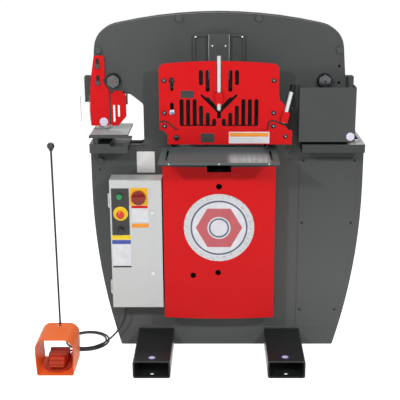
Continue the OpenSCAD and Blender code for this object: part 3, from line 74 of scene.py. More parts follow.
def back(name):
    """Depth of a node's back."""
    return round(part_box(name)[1][1] / MM, 1)


def left(name):
    """Left end of a node."""
    return round(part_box(name)[0][0] / MM, 1)


def right(name):
    """Right end of a node."""
    return round(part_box(name)[1][0] / MM, 1)


def top(name):
    """Height of a node's top."""
    return round(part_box(name)[1][2] / MM, 1)


PLATE = front("front_plate")
DOOR = front("control_door")
GUARD = front("lower_guard")
STRIPPER = front("punch_stripper")
TABLE_TOP = top("shear_table")
TUBE_TOP = top("base_tube_left")


# Colours and shader nodes
def lin(level):
    """Linear value of an sRGB level from 0 to 255."""
    c = level / 255
    return c / 12.92 if c <= 0.04045 else ((c + 0.055) / 1.055) ** 2.4


def rgb(r, g, b):
    return (lin(r), lin(g), lin(b), 1)


def shade(c, k):
    """Colour made lighter or darker by a factor."""
    return (min(1, c[0] * k), min(1, c[1] * k), min(1, c[2] * k), 1)


class Nodes:
    """Short helper for building one material's node tree."""

    def __init__(self, name):
        self.mat = bpy.data.materials.new(name)
        self.mat.use_nodes = True
        self.tree = self.mat.node_tree
        self.bsdf = self.tree.nodes["Principled BSDF"]
        self.coord = self.add("ShaderNodeTexCoord")

    def add(self, kind, **props):
        n = self.tree.nodes.new(kind)
        for k, v in props.items():
            setattr(n, k, v)
        return n

    def link(self, a, b):
        self.tree.links.new(a, b)

    def set(self, name, value):
        self.bsdf.inputs[name].default_value = value

    def noise(self, scale, detail=3, stretch=(1, 1, 1)):
        m = self.add("ShaderNodeMapping")
        m.inputs["Scale"].default_value = stretch
        self.link(self.coord.outputs["Object"], m.inputs["Vector"])
        n = self.add("ShaderNodeTexNoise")
        n.inputs["Scale"].default_value = scale
        n.inputs["Detail"].default_value = detail
        self.link(m.outputs["Vector"], n.inputs["Vector"])
        return n.outputs["Fac"]

    def spread(self, fac, low, high, start=0.3, end=0.7):
        """Values from start to end spread out from low to high; the defaults fit a noise."""
        n = self.add("ShaderNodeMapRange")
        n.inputs["From Min"].default_value = start
        n.inputs["From Max"].default_value = end
        n.inputs["To Min"].default_value = low
        n.inputs["To Max"].default_value = high
        self.link(fac, n.inputs["Value"])
        return n.outputs["Result"]

    def times(self, a, b):
        n = self.add("ShaderNodeMath", operation="MULTIPLY")
        self.link(a, n.inputs[0])
        self.link(b, n.inputs[1])
        return n.outputs[0]

    def mix(self, fac, a, b):
        n = self.add("ShaderNodeMix", data_type="RGBA")
        self.link(fac, n.inputs["Factor"])
        for value, socket in ((a, n.inputs[6]), (b, n.inputs[7])):
            if isinstance(value, tuple):
                socket.default_value = value
            else:
                self.link(value, socket)
        return n.outputs[2]

    def cloud(self, fac, colour, dark, light):
        """Colour that wavers between two factors."""
        return self.mix(self.spread(fac, 0, 1), shade(colour, dark), shade(colour, light))

    def bevel(self, radius):
        n = self.add("ShaderNodeBevel", samples=4)
        n.inputs["Radius"].default_value = radius
        return n.outputs["Normal"]

    def bump(self, height, strength, distance, normal):
        n = self.add("ShaderNodeBump")
        n.inputs["Strength"].default_value = strength
        n.inputs["Distance"].default_value = distance
        self.link(height, n.inputs["Height"])
        self.link(normal, n.inputs["Normal"])
        return n.outputs["Normal"]

    def edges(self, normal):
        """0 on flat faces, rising to 1 on the sharp edges that the bevel rounds."""
        geo = self.add("ShaderNodeNewGeometry")
        dot = self.add("ShaderNodeVectorMath", operation="DOT_PRODUCT")
        self.link(geo.outputs["True Normal"], dot.inputs[0])
        self.link(normal, dot.inputs[1])
        return self.spread(dot.outputs["Value"], 1, 0, 0.72, 0.99)

    def along(self, axis, vector=None):
        """Part of a vector along one axis; the place on the object, in metres, where none is given."""
        n = self.add("ShaderNodeSeparateXYZ")
        self.link(vector or self.coord.outputs["Object"], n.inputs[0])
        return n.outputs[axis]

    def facing_up(self):
        geo = self.add("ShaderNodeNewGeometry")
        return self.spread(self.along("Z", geo.outputs["Normal"]), 0, 1, 0.6, 0.8)

    def finish(self, base, rough, normal=None):
        self.link(base, self.bsdf.inputs["Base Color"])
        self.link(rough, self.bsdf.inputs["Roughness"])
        if normal:
            self.link(normal, self.bsdf.inputs["Normal"])
        return self.mat


# Kinds of material, with lengths in metres; a paint can turn lighter towards the bottom, fully below one
# height and not at all above the other
LIGHTEST_BELOW_Z = 0.3
PLAIN_ABOVE_Z = 0.85
FINE = 0.0003


def paint(name, colour, rough=0.38, vary=0.07, peel=0.12, edge=0.0012, wear=0.35, worn=None, spec=0.4,
          lighter_low=0):
    """Sprayed paint: faint clouds, orange peel, edges where it has thinned, and a colour that grows lighter
    downwards.
    """
    n = Nodes(name)
    n.set("Specular IOR Level", spec)
    base = n.cloud(n.noise(5, 4), colour, 1 - vary, 1 + vary)
    if lighter_low:
        base = n.mix(n.spread(n.along("Z"), 1, 0, LIGHTEST_BELOW_Z, PLAIN_ABOVE_Z), base, shade(colour, 1 + lighter_low))
    round_normal = n.bevel(edge)
    if wear:
        chip = n.times(n.edges(round_normal), n.spread(n.noise(60, 4), 0, wear, 0.35, 0.65))
        base = n.mix(chip, base, worn or shade(colour, 1.8))
    return n.finish(base, n.spread(n.noise(18, 3), rough - 0.06, rough + 0.08),
                    n.bump(n.noise(420, 2), peel, 0.0004, round_normal))


def ribbed(name, colour, pitch):
    """Painted casting with grip ribs across its length, with painted shade in the grooves where it faces up.
    """
    n = Nodes(name)
    n.set("Specular IOR Level", 0.2)
    wave = n.add("ShaderNodeTexWave", bands_direction="Y")
    wave.inputs["Scale"].default_value = math.pi / (10 * pitch)
    n.link(n.coord.outputs["Object"], wave.inputs["Vector"])
    groove_shade = n.times(n.spread(wave.outputs["Fac"], 1, 0, 0.1, 0.5), n.facing_up())
    base = n.mix(groove_shade, n.cloud(n.noise(14, 4), colour, 0.85, 1.12), shade(colour, 0.4))
    return n.finish(base, n.spread(n.noise(30, 3), 0.45, 0.6),
                    n.bump(wave.outputs["Fac"], 0.5, 0.001, n.bevel(0.004)))


def steel(name, colour, rough=0.32, metallic=1.0, stretch=(1, 1, 40), edge=0.0008, stain=0.2, upper=None):
    """Ground or dark steel: grinding marks along one way, stains, painted highlight on the edges, and another
    colour on top if given.
    """
    n = Nodes(name)
    n.set("Metallic", metallic)
    grain = n.noise(90, 3, stretch)
    base = n.cloud(grain, colour, 0.9, 1.08)
    base = n.mix(n.spread(n.noise(9, 5), 0, stain, 0.45, 0.75), base, shade(colour, 0.55))
    round_normal = n.bevel(edge)
    if upper:
        base = n.mix(n.facing_up(), base, n.cloud(grain, upper, 0.92, 1.05))
    # painted highlight: the edges are made lighter than the faces
    base = n.mix(n.spread(n.edges(round_normal), 0, 0.4, 0, 1), base, shade(colour, 1.6))
    return n.finish(base, n.spread(grain, rough - 0.07, rough + 0.1), n.bump(grain, 0.15, FINE, round_normal))


def table_steel_painted_sheen(name, colour, reflection_colour, x0, x1, y_front, y_back, upper=None, spec=0.15):
    """Steel table with a painted reflection from x0 to x1, stronger towards y_front; upper colours its top,
    as painted shade.
    """
    fade = 0.02
    n = Nodes(name)
    n.set("Specular IOR Level", spec)
    grain = n.noise(90, 3, (30, 1, 1))
    base = n.cloud(grain, colour, 0.93, 1.06)
    if upper:
        base = n.mix(n.facing_up(), base, upper)
    painted_reflection = n.spread(n.noise(14, 2, (6, 0.4, 1)), 0.55, 1)
    for limit in (n.spread(n.along("X"), 0, 1, x0, x0 + fade), n.spread(n.along("X"), 1, 0, x1 - fade, x1),
                  n.spread(n.along("Y"), 1, 0, y_front, y_back), n.facing_up()):
        painted_reflection = n.times(painted_reflection, limit)
    return n.finish(n.mix(painted_reflection, base, reflection_colour), n.spread(grain, 0.4, 0.52),
                    n.bump(grain, 0.12, FINE, n.bevel(0.0008)))


def plastic(name, colour, rough=0.35, grain=0.1, spec=0.5):
    """Moulded plastic or rubber with a fine grain."""
    n = Nodes(name)
    n.set("Specular IOR Level", spec)
    return n.finish(n.cloud(n.noise(30, 3), colour, 0.93, 1.06),
                    n.spread(n.noise(45, 3), rough - 0.05, rough + 0.07),
                    n.bump(n.noise(900, 2), grain, FINE, n.bevel(0.0006)))


def label(name, colour, rough=0.4):
    """Smooth printed sheet."""
    return plastic(name, colour, rough, grain=0.03)


def clear(name):
    """Thin clear sheet."""
    n = Nodes(name)
    n.set("Transmission Weight", 1)
    n.set("IOR", 1.2)
    n.set("Alpha", 0.35)
    return n.finish(n.mix(n.spread(n.noise(12, 3), 0, 1), (0.93, 0.95, 0.96, 1), (0.98, 0.99, 1, 1)),
                    n.spread(n.noise(70, 4), 0.02, 0.12))


# Materials of the CAD nodes
# the frame paint turns lighter towards the bottom
m_frame = paint("frame_paint", rgb(77, 80, 79), rough=0.5, vary=0.05, wear=0.3, worn=rgb(120, 122, 121),
                spec=0.12, lighter_low=0.5)
m_tube = paint("tube_paint", rgb(36, 38, 38), rough=0.36, wear=0.4, worn=rgb(118, 119, 119),
               edge=0.0016, spec=0.35)
m_red = paint("guard_paint", rgb(214, 22, 26), rough=0.36, vary=0.04, wear=0.12, worn=rgb(236, 80, 80),
              spec=0.15)
# painted shade for the walls of the guards' slots
m_red_slot_shade = paint("guard_slot_shade", rgb(56, 7, 10), rough=0.5, vary=0.08, wear=0, spec=0.1)
m_box = paint("box_paint", rgb(208, 211, 210), rough=0.42, vary=0.02, peel=0.2, wear=0.3,
              worn=rgb(235, 236, 235), spec=0.3)
m_orange = paint("hood_paint", rgb(255, 116, 44), rough=0.45, vary=0.05, wear=0.3, worn=rgb(248, 150, 100),
                 edge=0.002, spec=0.2)
m_treadle = paint("treadle_paint", rgb(204, 72, 42), rough=0.5, vary=0.12, wear=0.4, worn=rgb(224, 108, 72),
                  edge=0.003, spec=0.2)
m_grip = ribbed("treadle_grip", rgb(206, 72, 42), pitch=0.014)
m_dark = steel("dark_steel", rgb(64, 66, 66), rough=0.42, metallic=0.6)
# painted shade: the beam is made near-black so it reads as shaded through the guard's slots; its grey shows
# on the plates at its ends
m_beam_shade = steel("beam_shade_steel", rgb(13, 13, 14), rough=0.6, metallic=0.2)
# dark steel of inner parts, also used as painted shade on dark strips, sheets and faces
m_inner_and_shade = steel("inner_steel_and_shade", rgb(22, 23, 23), rough=0.55, metallic=0.3)
# painted reflection: a bright patch on the shear table's top
m_table = table_steel_painted_sheen("table_steel_painted_sheen", rgb(91, 99, 98), rgb(188, 196, 196), x0=0.03, x1=0.205,
                      y_front=-0.26, y_back=-0.13)
# painted reflection at the right end of the notcher table's top, and painted shade, a near-black colour, on
# the rest of its top
m_notch = table_steel_painted_sheen("notcher_table_painted_light", rgb(75, 79, 78), rgb(246, 248, 248), x0=0.51, x1=0.62,
                      y_front=0.2, y_back=0.3, upper=rgb(24, 25, 25), spec=0)
# bright steel, also used for painted highlights on the guard screws
m_bright_and_glint = steel("bright_steel", rgb(200, 202, 203), rough=0.3, metallic=0.75)
m_rod = steel("rod_steel", rgb(212, 214, 213), rough=0.34, metallic=0.45, stretch=(40, 40, 1), stain=0.08)
m_gauge = steel("gauge_steel", rgb(150, 154, 154), rough=0.4, metallic=0.1, stretch=(1, 40, 1),
                upper=rgb(142, 154, 154))
m_bronze = steel("bronze", rgb(176, 134, 78), rough=0.35)
m_stud = steel("stud_steel", rgb(112, 92, 80), rough=0.32, metallic=0.8)
m_bolt = steel("bolt_steel", rgb(104, 108, 110), rough=0.2, metallic=0.85)
m_tie = steel("tie_steel", rgb(74, 77, 77), rough=0.34, metallic=0.6)
m_adjust = steel("adjuster_steel", rgb(138, 148, 162), rough=0.28, metallic=0.9)
m_motor = paint("motor_paint", rgb(62, 66, 70), rough=0.42, wear=0.3)
m_clear = clear("clear_sheet")
# black plastic, also used as painted shade in the gap beside the gate
m_black_and_shade = plastic("black_plastic", rgb(30, 30, 31), rough=0.32)
m_rod_black = paint("rod_paint", rgb(52, 52, 52), rough=0.6, vary=0.12, wear=0.5, worn=rgb(104, 104, 103),
                    spec=0.2)
# rubber of the cord, also used as painted shade along the cover's upper edge
m_rubber_and_shade = plastic("cord_rubber", rgb(42, 42, 43), rough=0.5, grain=0.2, spec=0.3)
m_green = plastic("green_plastic", rgb(20, 142, 70), rough=0.25)
m_estop = plastic("estop_red", rgb(222, 44, 28), rough=0.25)
m_knob = plastic("knob_red", rgb(140, 22, 20), rough=0.3)
m_screw = steel("screw_steel", rgb(30, 31, 32), rough=0.24, metallic=0.6)

look = {
    m_frame: "front_plate rear_plate frame_spacers side_panel stop_channel stop_cover notcher_guard oil_tank",
    m_tube: "base_tube_left base_tube_right oil_lines",
    m_red: "centre_guard lower_guard front_cover punch_gate punch_stripper",
    m_box: "control_box control_door",
    m_beam_shade: "beam",
    m_dark: "die_bolster cylinder_barrel crosshead punch_ram notcher_ram",
    m_inner_and_shade: "guard_posts draw_links upper_blade",
    m_tie: "tie_bolts",
    m_bolt: "guide_studs",
    m_screw: "button_screws",
    m_table: "shear_table",
    m_notch: "notcher_bolster",
    m_gauge: "punch_table",
    m_bright_and_glint: "punch_die notcher_die lower_blade link_pins piston_rod punch cylinder_gland pump_unit "
              "latch_upper latch_lower",
    m_rod: "angle_screw flat_screw",
    m_bronze: "wear_pads",
    m_motor: "pump_motor",
    m_clear: "punch_shield",
    m_orange: "pedal_hood",
    m_treadle: "pedal_base",
    m_grip: "treadle",
    m_black_and_shade: "carry_knob box_gland pedal_gland selector_knob",
    m_rod_black: "carry_rod",
    m_rubber_and_shade: "foot_cord",
    m_green: "start_button",
    m_estop: "estop_button",
    m_knob: "disconnect_knob",
}
for mat, names in look.items():
    for name in names.split():
        nodes[name].data.materials.clear()
        nodes[name].data.materials.append(mat)


# Second materials on some faces of the CAD nodes
def repaint(name, mat, test):
    """Another material on the faces of a CAD node that pass a test on their middle, in mm, and normal."""
    mesh = nodes[name].data
    mesh.materials.append(mat)
    for p in mesh.polygons:
        if test(p.center / MM, p.normal):
            p.material_index = len(mesh.materials) - 1


def in_openings(name, rim):
    """Test for the edge faces of a sheet's openings, further than rim from its outline."""
    low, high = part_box(name)
    return lambda c, n: (abs(n.y) < 0.5 and low[0] + rim * MM < c.x * MM < high[0] - rim * MM
                         and low[2] + rim * MM < c.z * MM < high[2] - rim * MM)


PAST_WASHER = 6.5
NOTCHER_LEFT = left("notcher_bolster")
ADJUSTER_X, ADJUSTER_Z, ADJUSTER_R = -185, 1047, 20
FLAT_X, FLAT_Z, FLAT_R = 255, 1004, 9.5
FLAT_HEAD_Z = 1128
FLAT_LEAN = math.radians(13)


def on_adjuster(c, n):
    return math.hypot(c.x - ADJUSTER_X, c.z - ADJUSTER_Z) < ADJUSTER_R


def on_flat_head(c, n):
    """True on the head of the leaning hold-down screw and on what stands out from its shank."""
    aside = (c.x - FLAT_X) * math.cos(FLAT_LEAN) - (c.z - FLAT_Z) * math.sin(FLAT_LEAN)
    return c.z > FLAT_HEAD_Z or abs(aside) > FLAT_R


def on_jaw_bolt(c, n):
    """True below the punch jaw, where the bolts are painted with the frame."""
    return c.x < -400 and 780 < c.z < 880


# painted shade: the walls of the guards' slots are made dark red
repaint("centre_guard", m_red_slot_shade, in_openings("centre_guard", 30))
repaint("lower_guard", m_red_slot_shade, in_openings("lower_guard", 12))
repaint("guide_studs", m_screw, lambda c, n: abs(c.y) < abs(PLATE) + PAST_WASHER)
repaint("button_screws", m_adjust, on_adjuster)
repaint("flat_screw", m_screw, on_flat_head)
repaint("punch_gate", m_screw, lambda c, n: c.y < STRIPPER)
# painted shade: the left end face of the notcher table is made black
repaint("notcher_bolster", m_inner_and_shade, lambda c, n: n.x < -0.9 and c.x < NOTCHER_LEFT + 3)
repaint("punch_table", m_frame, lambda c, n: n.z < 0.5)
repaint("tie_bolts", m_frame, on_jaw_bolt)


# Building of pieces, with places in mm, and bevels and tube radii in metres
STUCK = 0.02
THIN = 0.0002


def piece(name, bm, mat, body, bevel=0.0, smooth=False):
    """Mesh object that rides on a body, with rounded edges where a bevel width is given."""
    bmesh.ops.recalc_face_normals(bm, faces=bm.faces)
    mesh = bpy.data.meshes.new(name)
    bm.to_mesh(mesh)
    bm.free()
    obj = bpy.data.objects.new(name, mesh)
    scene.collection.objects.link(obj)
    mesh.materials.append(mat)
    if smooth:
        mesh.shade_smooth()
    if bevel:
        mod = obj.modifiers.new("edge", "BEVEL")
        mod.width = bevel
        mod.segments = 2
        mod.limit_method = "ANGLE"
    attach(obj, body)
    return obj


def sheet(name, bm, mat):
    """Open surface with the thickness of a sticker."""
    obj = piece(name, bm, mat, "frame")
    mod = obj.modifiers.new("thick", "SOLIDIFY")
    mod.thickness = THIN
    return obj


def vert(bm, x, y, z):
    """Vertex at a place in mm."""
    return bm.verts.new((x * MM, y * MM, z * MM))


def join(bm, a, b):
    """Faces between two closed rows of as many vertices."""
    n = len(a)
    for k in range(n):
        bm.faces.new((a[k], a[(k + 1) % n], b[(k + 1) % n], b[k]))


def angles(n):
    """Angles of n even steps round a circle."""
    return [FULL_TURN * k / n for k in range(n)]


def circle(x, z, r, n=40):
    return [(x + r * math.cos(a), z + r * math.sin(a)) for a in angles(n)]


def rounded_rect(x0, x1, z0, z1, r, steps=5):
    pts = []
    corners = ((x1 - r, z0 + r, -90), (x1 - r, z1 - r, 0), (x0 + r, z1 - r, 90), (x0 + r, z0 + r, 180))
    for cx, cz, start in corners:
        for i in range(steps + 1):
            a = math.radians(start + 90 * i / steps)
            pts.append((cx + r * math.cos(a), cz + r * math.sin(a)))
    return pts


def prism(bm, outline, y0, y1):
    """Prism whose outline is in X and Z, between two depths."""
    low = [vert(bm, x, y0, z) for x, z in outline]
    high = [vert(bm, x, y1, z) for x, z in outline]
    bm.faces.new(low)
    bm.faces.new(high[::-1])
    join(bm, low, high)


def plate(name, x0, x1, z0, z1, y, t, mat, body="frame", r=1, bevel=THIN):
    """Thin plate with rounded corners, lying on the face at depth y, towards the operator."""
    bm = bmesh.new()
    prism(bm, rounded_rect(x0, x1, z0, z1, r), y - t, y - STUCK)
    return piece(name, bm, mat, body, bevel)


def disc(name, x, z, r, y, t, mat, body="frame"):
    """Round plate on the face at depth y."""
    bm = bmesh.new()
    prism(bm, circle(x, z, r), y - t, y - STUCK)
    return piece(name, bm, mat, body, THIN)


def ring(name, x, z, r0, r1, y0, y1, mat, body, n=48):
    """Flat ring between two radii and two depths."""
    bm = bmesh.new()
    inner, outer = circle(x, z, r0, n), circle(x, z, r1, n)
    rows = [[vert(bm, px, y, pz) for px, pz in pts]
            for pts, y in ((outer, y0), (outer, y1), (inner, y1), (inner, y0))]
    for a, b in zip(rows, rows[1:] + rows[:1]):
        join(bm, a, b)
    return piece(name, bm, mat, body, 0.0003)


def smooth_line(points, per=4):
    """Catmull-Rom curve through the points."""
    fine = []
    last = len(points) - 1
    for i in range(last):
        p0, p1, p2, p3 = points[max(i - 1, 0)], points[i], points[i + 1], points[min(i + 2, last)]
        for k in range(per):
            t = k / per
            fine.append(0.5 * (2 * p1 + (p2 - p0) * t + (2 * p0 - 5 * p1 + 4 * p2 - p3) * t * t
                               + (3 * p1 - p0 - 3 * p2 + p3) * t ** 3))
    fine.append(points[-1].copy())
    return fine


def tube_along(points, radius, sides=12):
    """Smooth tube through the points, with square ends, and its middle line."""
    line = smooth_line(points)
    last = len(line) - 1
    bm = bmesh.new()
    rows = []
    normal = None
    for i, p in enumerate(line):
        tan = (line[min(i + 1, last)] - line[max(i - 1, 0)]).normalized()
        if i == 0:
            tan = (points[1] - points[0]).normalized()
        if i == last:
            tan = (points[-1] - points[-2]).normalized()
        if normal is None:
            normal = Vector((0, 1, 0)) if abs(tan.y) < 0.9 else Vector((1, 0, 0))
        normal = (normal - tan * normal.dot(tan)).normalized()
        side = tan.cross(normal)
        rows.append([bm.verts.new(p + radius * (math.cos(a) * normal + math.sin(a) * side))
                     for a in angles(sides)])
    for a, b in zip(rows, rows[1:]):
        join(bm, a, b)
    bm.faces.new(rows[0][::-1])
    bm.faces.new(rows[-1])
    return bm, line


# Cord of the pedal, on the same route as its solid
CORD_R = 0.004
LOOP_X, LOOP_Y, LOOP_Z = -580, -18, 4.2
LOOP_R = 74
LOOP_GROWTH = 12
LOOP_TURNS = 2
LOOP_STEPS = 24

drop = [(-400, -92, 185), (-400, -92, 162), (-406, -91, 136), (-418, -88, 110), (-434, -84, 84),
        (-454, -79, 59), (-476, -77, 37), (-499, -79, 22), (-522, -83, 13), (-546, -88, 7)]
lead = [(-597, -117, 4.4), (-614, -119.5, 5.5), (-629, -125, 8), (-640, -133, 10.5), (-647.5, -143, 13),
        (-650, -153, 14), (-650, -163, 14)]
loops = []
for i in range(LOOP_TURNS * LOOP_STEPS + 1):
    turn = i / LOOP_STEPS
    r = LOOP_R + LOOP_GROWTH * turn
    loops.append((LOOP_X - r * math.sin(FULL_TURN * turn), LOOP_Y - r * math.cos(FULL_TURN * turn), LOOP_Z))
route = [Vector(p) * MM for p in drop + loops + lead]

cord_mesh, cord_line = tube_along(route, CORD_R)
cord = piece("pedal_cord", cord_mesh, m_rubber_and_shade, "frame", smooth=True)
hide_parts("foot_cord")

# Blank plates and labels of the control door
m_white = label("label_white", rgb(226, 227, 232))
m_label_black = label("label_black", rgb(38, 38, 39))
m_yellow = label("label_yellow", rgb(250, 214, 28), rough=0.35)
m_amber = label("label_amber", rgb(252, 190, 24), rough=0.35)
m_label_orange = label("label_orange", rgb(246, 154, 48))
m_blue = label("label_blue", rgb(62, 76, 160))
m_lilac = label("label_lilac", rgb(226, 218, 238))
m_label_grey = label("label_grey", rgb(150, 152, 158))
m_data = steel("data_plate", rgb(206, 207, 206), rough=0.34, metallic=0.5, stretch=(40, 1, 1), stain=0.1)

# Their left, right, bottom and top are where the photo shows them
SHEET_T = 0.8
DOOR_LABEL_T = 0.5
ESTOP_X, ESTOP_Z = -401.5, 625
RING_T = 1.5
RING_BACK = DOOR - SHEET_T - 0.1

plate("legend_plate", -438, -366, 533, 732, DOOR, SHEET_T, m_label_black, "control_door", r=2)
plate("legend_yellow", -440, -363, 513, 532, DOOR, DOOR_LABEL_T, m_yellow, "control_door")
plate("legend_blue", -440, -363, 494, 511, DOOR, DOOR_LABEL_T, m_blue, "control_door")
plate("legend_white", -440, -364, 399, 493, DOOR, DOOR_LABEL_T, m_white, "control_door")
plate("legend_foot", -439, -363, 391, 398, DOOR, DOOR_LABEL_T, m_label_black, "control_door")
plate("disconnect_plate", -362, -290, 659, 734, DOOR, 0.2, m_amber, "control_door", r=2)
plate("label_red", -357, -290, 648, 658, DOOR, DOOR_LABEL_T, m_red, "control_door")
plate("label_square", -356, -289, 589, 647, DOOR, DOOR_LABEL_T, m_white, "control_door")
plate("label_strip", -357, -288, 565, 582, DOOR, DOOR_LABEL_T, m_label_orange, "control_door")
ring("estop_ring", ESTOP_X, ESTOP_Z, 10.5, 30, RING_BACK, RING_BACK - RING_T, m_yellow, "control_door")

# Plates and labels of the frame, guards and stations
LABEL_T = 0.4
SCREW_HEAD = 3
BEAM_END = 24
STUD_X, STUD_Z = 423, 1156
GATE_STRIP_T = 6.5
STOP_EDGE_W = 1.4
FITTED = PLATE - 0.2

plate("data_plate", -338, -264, 775, 864, PLATE, SHEET_T, m_data, r=2)
plate("guard_label_upper", -151, -98, 1103, 1132, GUARD, LABEL_T, m_label_black)
plate("guard_label_lower", -73, -18, 925, 962, GUARD, LABEL_T, m_label_black)
plate("guard_label_white", 39, 200, 921, 968, GUARD, LABEL_T, m_white)
plate("guard_label_band", 43, 196, 949, 964, GUARD - LABEL_T, 0.3, m_label_orange)
disc("stripper_disc", -467, 989, 17, STRIPPER, LABEL_T, m_lilac, "stripper")
disc("notcher_disc", 523, 945.5, 16.5, front("notcher_guard"), LABEL_T, m_lilac)
# painted shade: a dark sheet behind the stripper's slots
plate("stripper_slot_shade", -489, -473, 1136, 1246, PLATE, 0.2, m_inner_and_shade, r=4, bevel=0)
# painted shade: a black strip in the gap between the stripper and the gate
plate("gate_gap_shade", -442.6, -436.6, 977, 1107, FITTED, GATE_STRIP_T, m_black_and_shade, r=2, bevel=0.0006)
plate("gate_clip", -374.6, -368, 1060, 1106, FITTED, GATE_STRIP_T, m_black_and_shade, r=2.5, bevel=0.0008)
plate("gauge_rail", -515, -343, 945, 955, front("punch_table"), 3, m_frame, bevel=0.0006)
for side, x in (("left", left("beam")), ("right", right("beam") - BEAM_END)):
    plate("beam_end_" + side, x, x + BEAM_END, 1106, 1168, front("beam"), 0.3, m_frame, "beam",
          r=2.5, bevel=0)
for side, x, mat in (("left", -STUD_X, m_stud), ("right", STUD_X, m_tie)):
    disc("stud_centre_" + side, x, STUD_Z, 7, front("guide_studs"), 0.6, mat)
# painted highlight: a small bright disc on each guard screw's head
guard_screws = [(x, z) for x in (-215, 215) for z in (991, 1044, 1172)] + [(-169, 945), (264, 950)]
for i, (x, z) in enumerate(guard_screws):
    disc("screw_socket_%d" % i, x, z, 2.6, GUARD - SCREW_HEAD, LABEL_T, m_bright_and_glint)
for side, x in (("left", left("stop_cover")), ("right", right("stop_cover") - STOP_EDGE_W)):
    plate("stop_edge_" + side, x, x + STOP_EDGE_W, 1164, 1340, front("stop_cover"), 0.3, m_bright_and_glint,
          r=0.4, bevel=0)


# Round labels on the base tubes
TUBE_DISC_R = 17
PALE_PART = 0.72


def tube_disc(name, x, y, n=36):
    """Pale disc on a blue one, lying on a tube."""
    bm = bmesh.new()
    for slot, (disc_r, height) in enumerate(((TUBE_DISC_R, 0.4), (TUBE_DISC_R * PALE_PART, 0.6))):
        low = [vert(bm, x + disc_r * math.cos(a), y + disc_r * math.sin(a), TUBE_TOP + 0.03)
               for a in angles(n)]
        high = [bm.verts.new(v.co + Vector((0, 0, height * MM))) for v in low]
        bm.faces.new(high).material_index = slot
        bm.faces.new(low[::-1])
        join(bm, low, high)
    obj = piece(name, bm, m_blue, "frame")
    obj.data.materials.append(m_lilac)


tube_disc("tube_disc_left", -271.5, -334)
tube_disc("tube_disc_right", 267.5, -328)

# Round place on the front cover, following its bow: a plain nut within rings
COVER = front("front_cover")
COVER_HALF = right("front_cover")
COVER_BOW = 16
BADGE_Z = 568
ON_COVER = 0.5
ON_BADGE = 0.9


def cover_y(x):
    """Depth of the bowed cover at a distance from its middle."""
    return COVER + COVER_BOW * (x / COVER_HALF) ** 2


def cover_ring(name, r0, r1, lift, mat, shape=None, n=72, steps=6):
    """Ring from r0 to r1 on the cover; shape turns an angle into a factor on the outer radius."""
    bm = bmesh.new()
    rows = []
    for s in range(steps + 1):
        row = []
        for a in angles(n):
            r = r0 + (r1 * (shape(a) if shape else 1) - r0) * s / steps
            x = r * math.cos(a)
            row.append(vert(bm, x, cover_y(x) - lift, BADGE_Z + r * math.sin(a)))
        rows.append(row)
    for a, b in zip(rows, rows[1:]):
        join(bm, a, b)
    return sheet(name, bm, mat)


def hexagon(a):
    """Factor that makes a circle a hexagon with a corner at angle 0."""
    return math.cos(math.pi / 6) / math.cos((a % (math.pi / 3)) - math.pi / 6)


m_silver = steel("badge_silver", rgb(196, 198, 200), rough=0.3, metallic=0.3, stretch=(1, 1, 1), stain=0.05)
m_slate = label("badge_slate", rgb(92, 98, 122), rough=0.35)
m_rose = label("badge_rose", rgb(196, 92, 100), rough=0.35)
cover_ring("badge_rim", 122, 144, ON_COVER, m_silver)
cover_ring("badge_field", 0.5, 122, ON_COVER, m_white)
cover_ring("badge_ring", 110, 117, ON_BADGE, m_slate)
cover_ring("badge_nut", 47.5, 95, ON_BADGE, m_rose, hexagon)
cover_ring("badge_core", 35, 41.4, ON_BADGE, m_slate)


# Painted shade: dark strips along the cover's upper edge, where the shade under the table falls, open at the
# notch
def cover_band(name, x0, x1, z0, z1, mat, n=20):
    """Strip across the cover."""
    bm = bmesh.new()
    cols = []
    for k in range(n + 1):
        x = x0 + (x1 - x0) * k / n
        cols.append([vert(bm, x, cover_y(x) - ON_COVER, z) for z in (z0, z1)])
    for a, b in zip(cols, cols[1:]):
        bm.faces.new((a[0], b[0], b[1], a[1]))
    return sheet(name, bm, mat)


SHADE_SEAL_X = (48, COVER_HALF - 1)
SHADE_SEAL_Z = (823, top("front_cover") - 0.5)
cover_band("cover_shade_seal_left", -SHADE_SEAL_X[1], -SHADE_SEAL_X[0], *SHADE_SEAL_Z, m_rubber_and_shade)
cover_band("cover_shade_seal_right", *SHADE_SEAL_X, *SHADE_SEAL_Z, m_rubber_and_shade)

# Painted shade: dark strips round the ears of the lower guard plate, along the shadow lines of its seams
SEAM_R = 0.003
SEAM_PROUD = 0.6
seams = {
    "seam_shade_left": [(-232, 1010), (-214, 1010.5), (-202, 1006), (-184, 990), (-168, 977)],
    "seam_shade_right": [(263, 993), (241, 1003), (219, 1011.5), (203, 1011), (195, 1001), (192, 978)],
}
for name, path in seams.items():
    bm, _ = tube_along([Vector((x, GUARD - SEAM_PROUD, z)) * MM for x, z in path], SEAM_R, sides=8)
    piece(name, bm, m_inner_and_shade, "frame", smooth=True)

# Welds where the base tubes meet the front and rear plates
m_weld = paint("weld_paint", rgb(58, 60, 59), rough=0.4, peel=0.5, wear=0.5, worn=rgb(110, 110, 110))
WELD_R = 0.0035
WELD_PITCH = 0.004
RIPPLE = 0.12
RIPPLE_STEP = 2.3
WELD_IN = 2


def weld(name, start, end):
    """Bead of overlapping ripples along a line."""
    bm = bmesh.new()
    a, b = Vector(start) * MM, Vector(end) * MM
    count = int((b - a).length / WELD_PITCH)
    for i in range(count + 1):
        swell = 1 + RIPPLE * math.sin(i * RIPPLE_STEP)
        bmesh.ops.create_icosphere(bm, subdivisions=1, radius=WELD_R * swell,
                                   matrix=Matrix.Translation(a.lerp(b, i / count)))
    return piece(name, bm, m_weld, "frame", smooth=True)


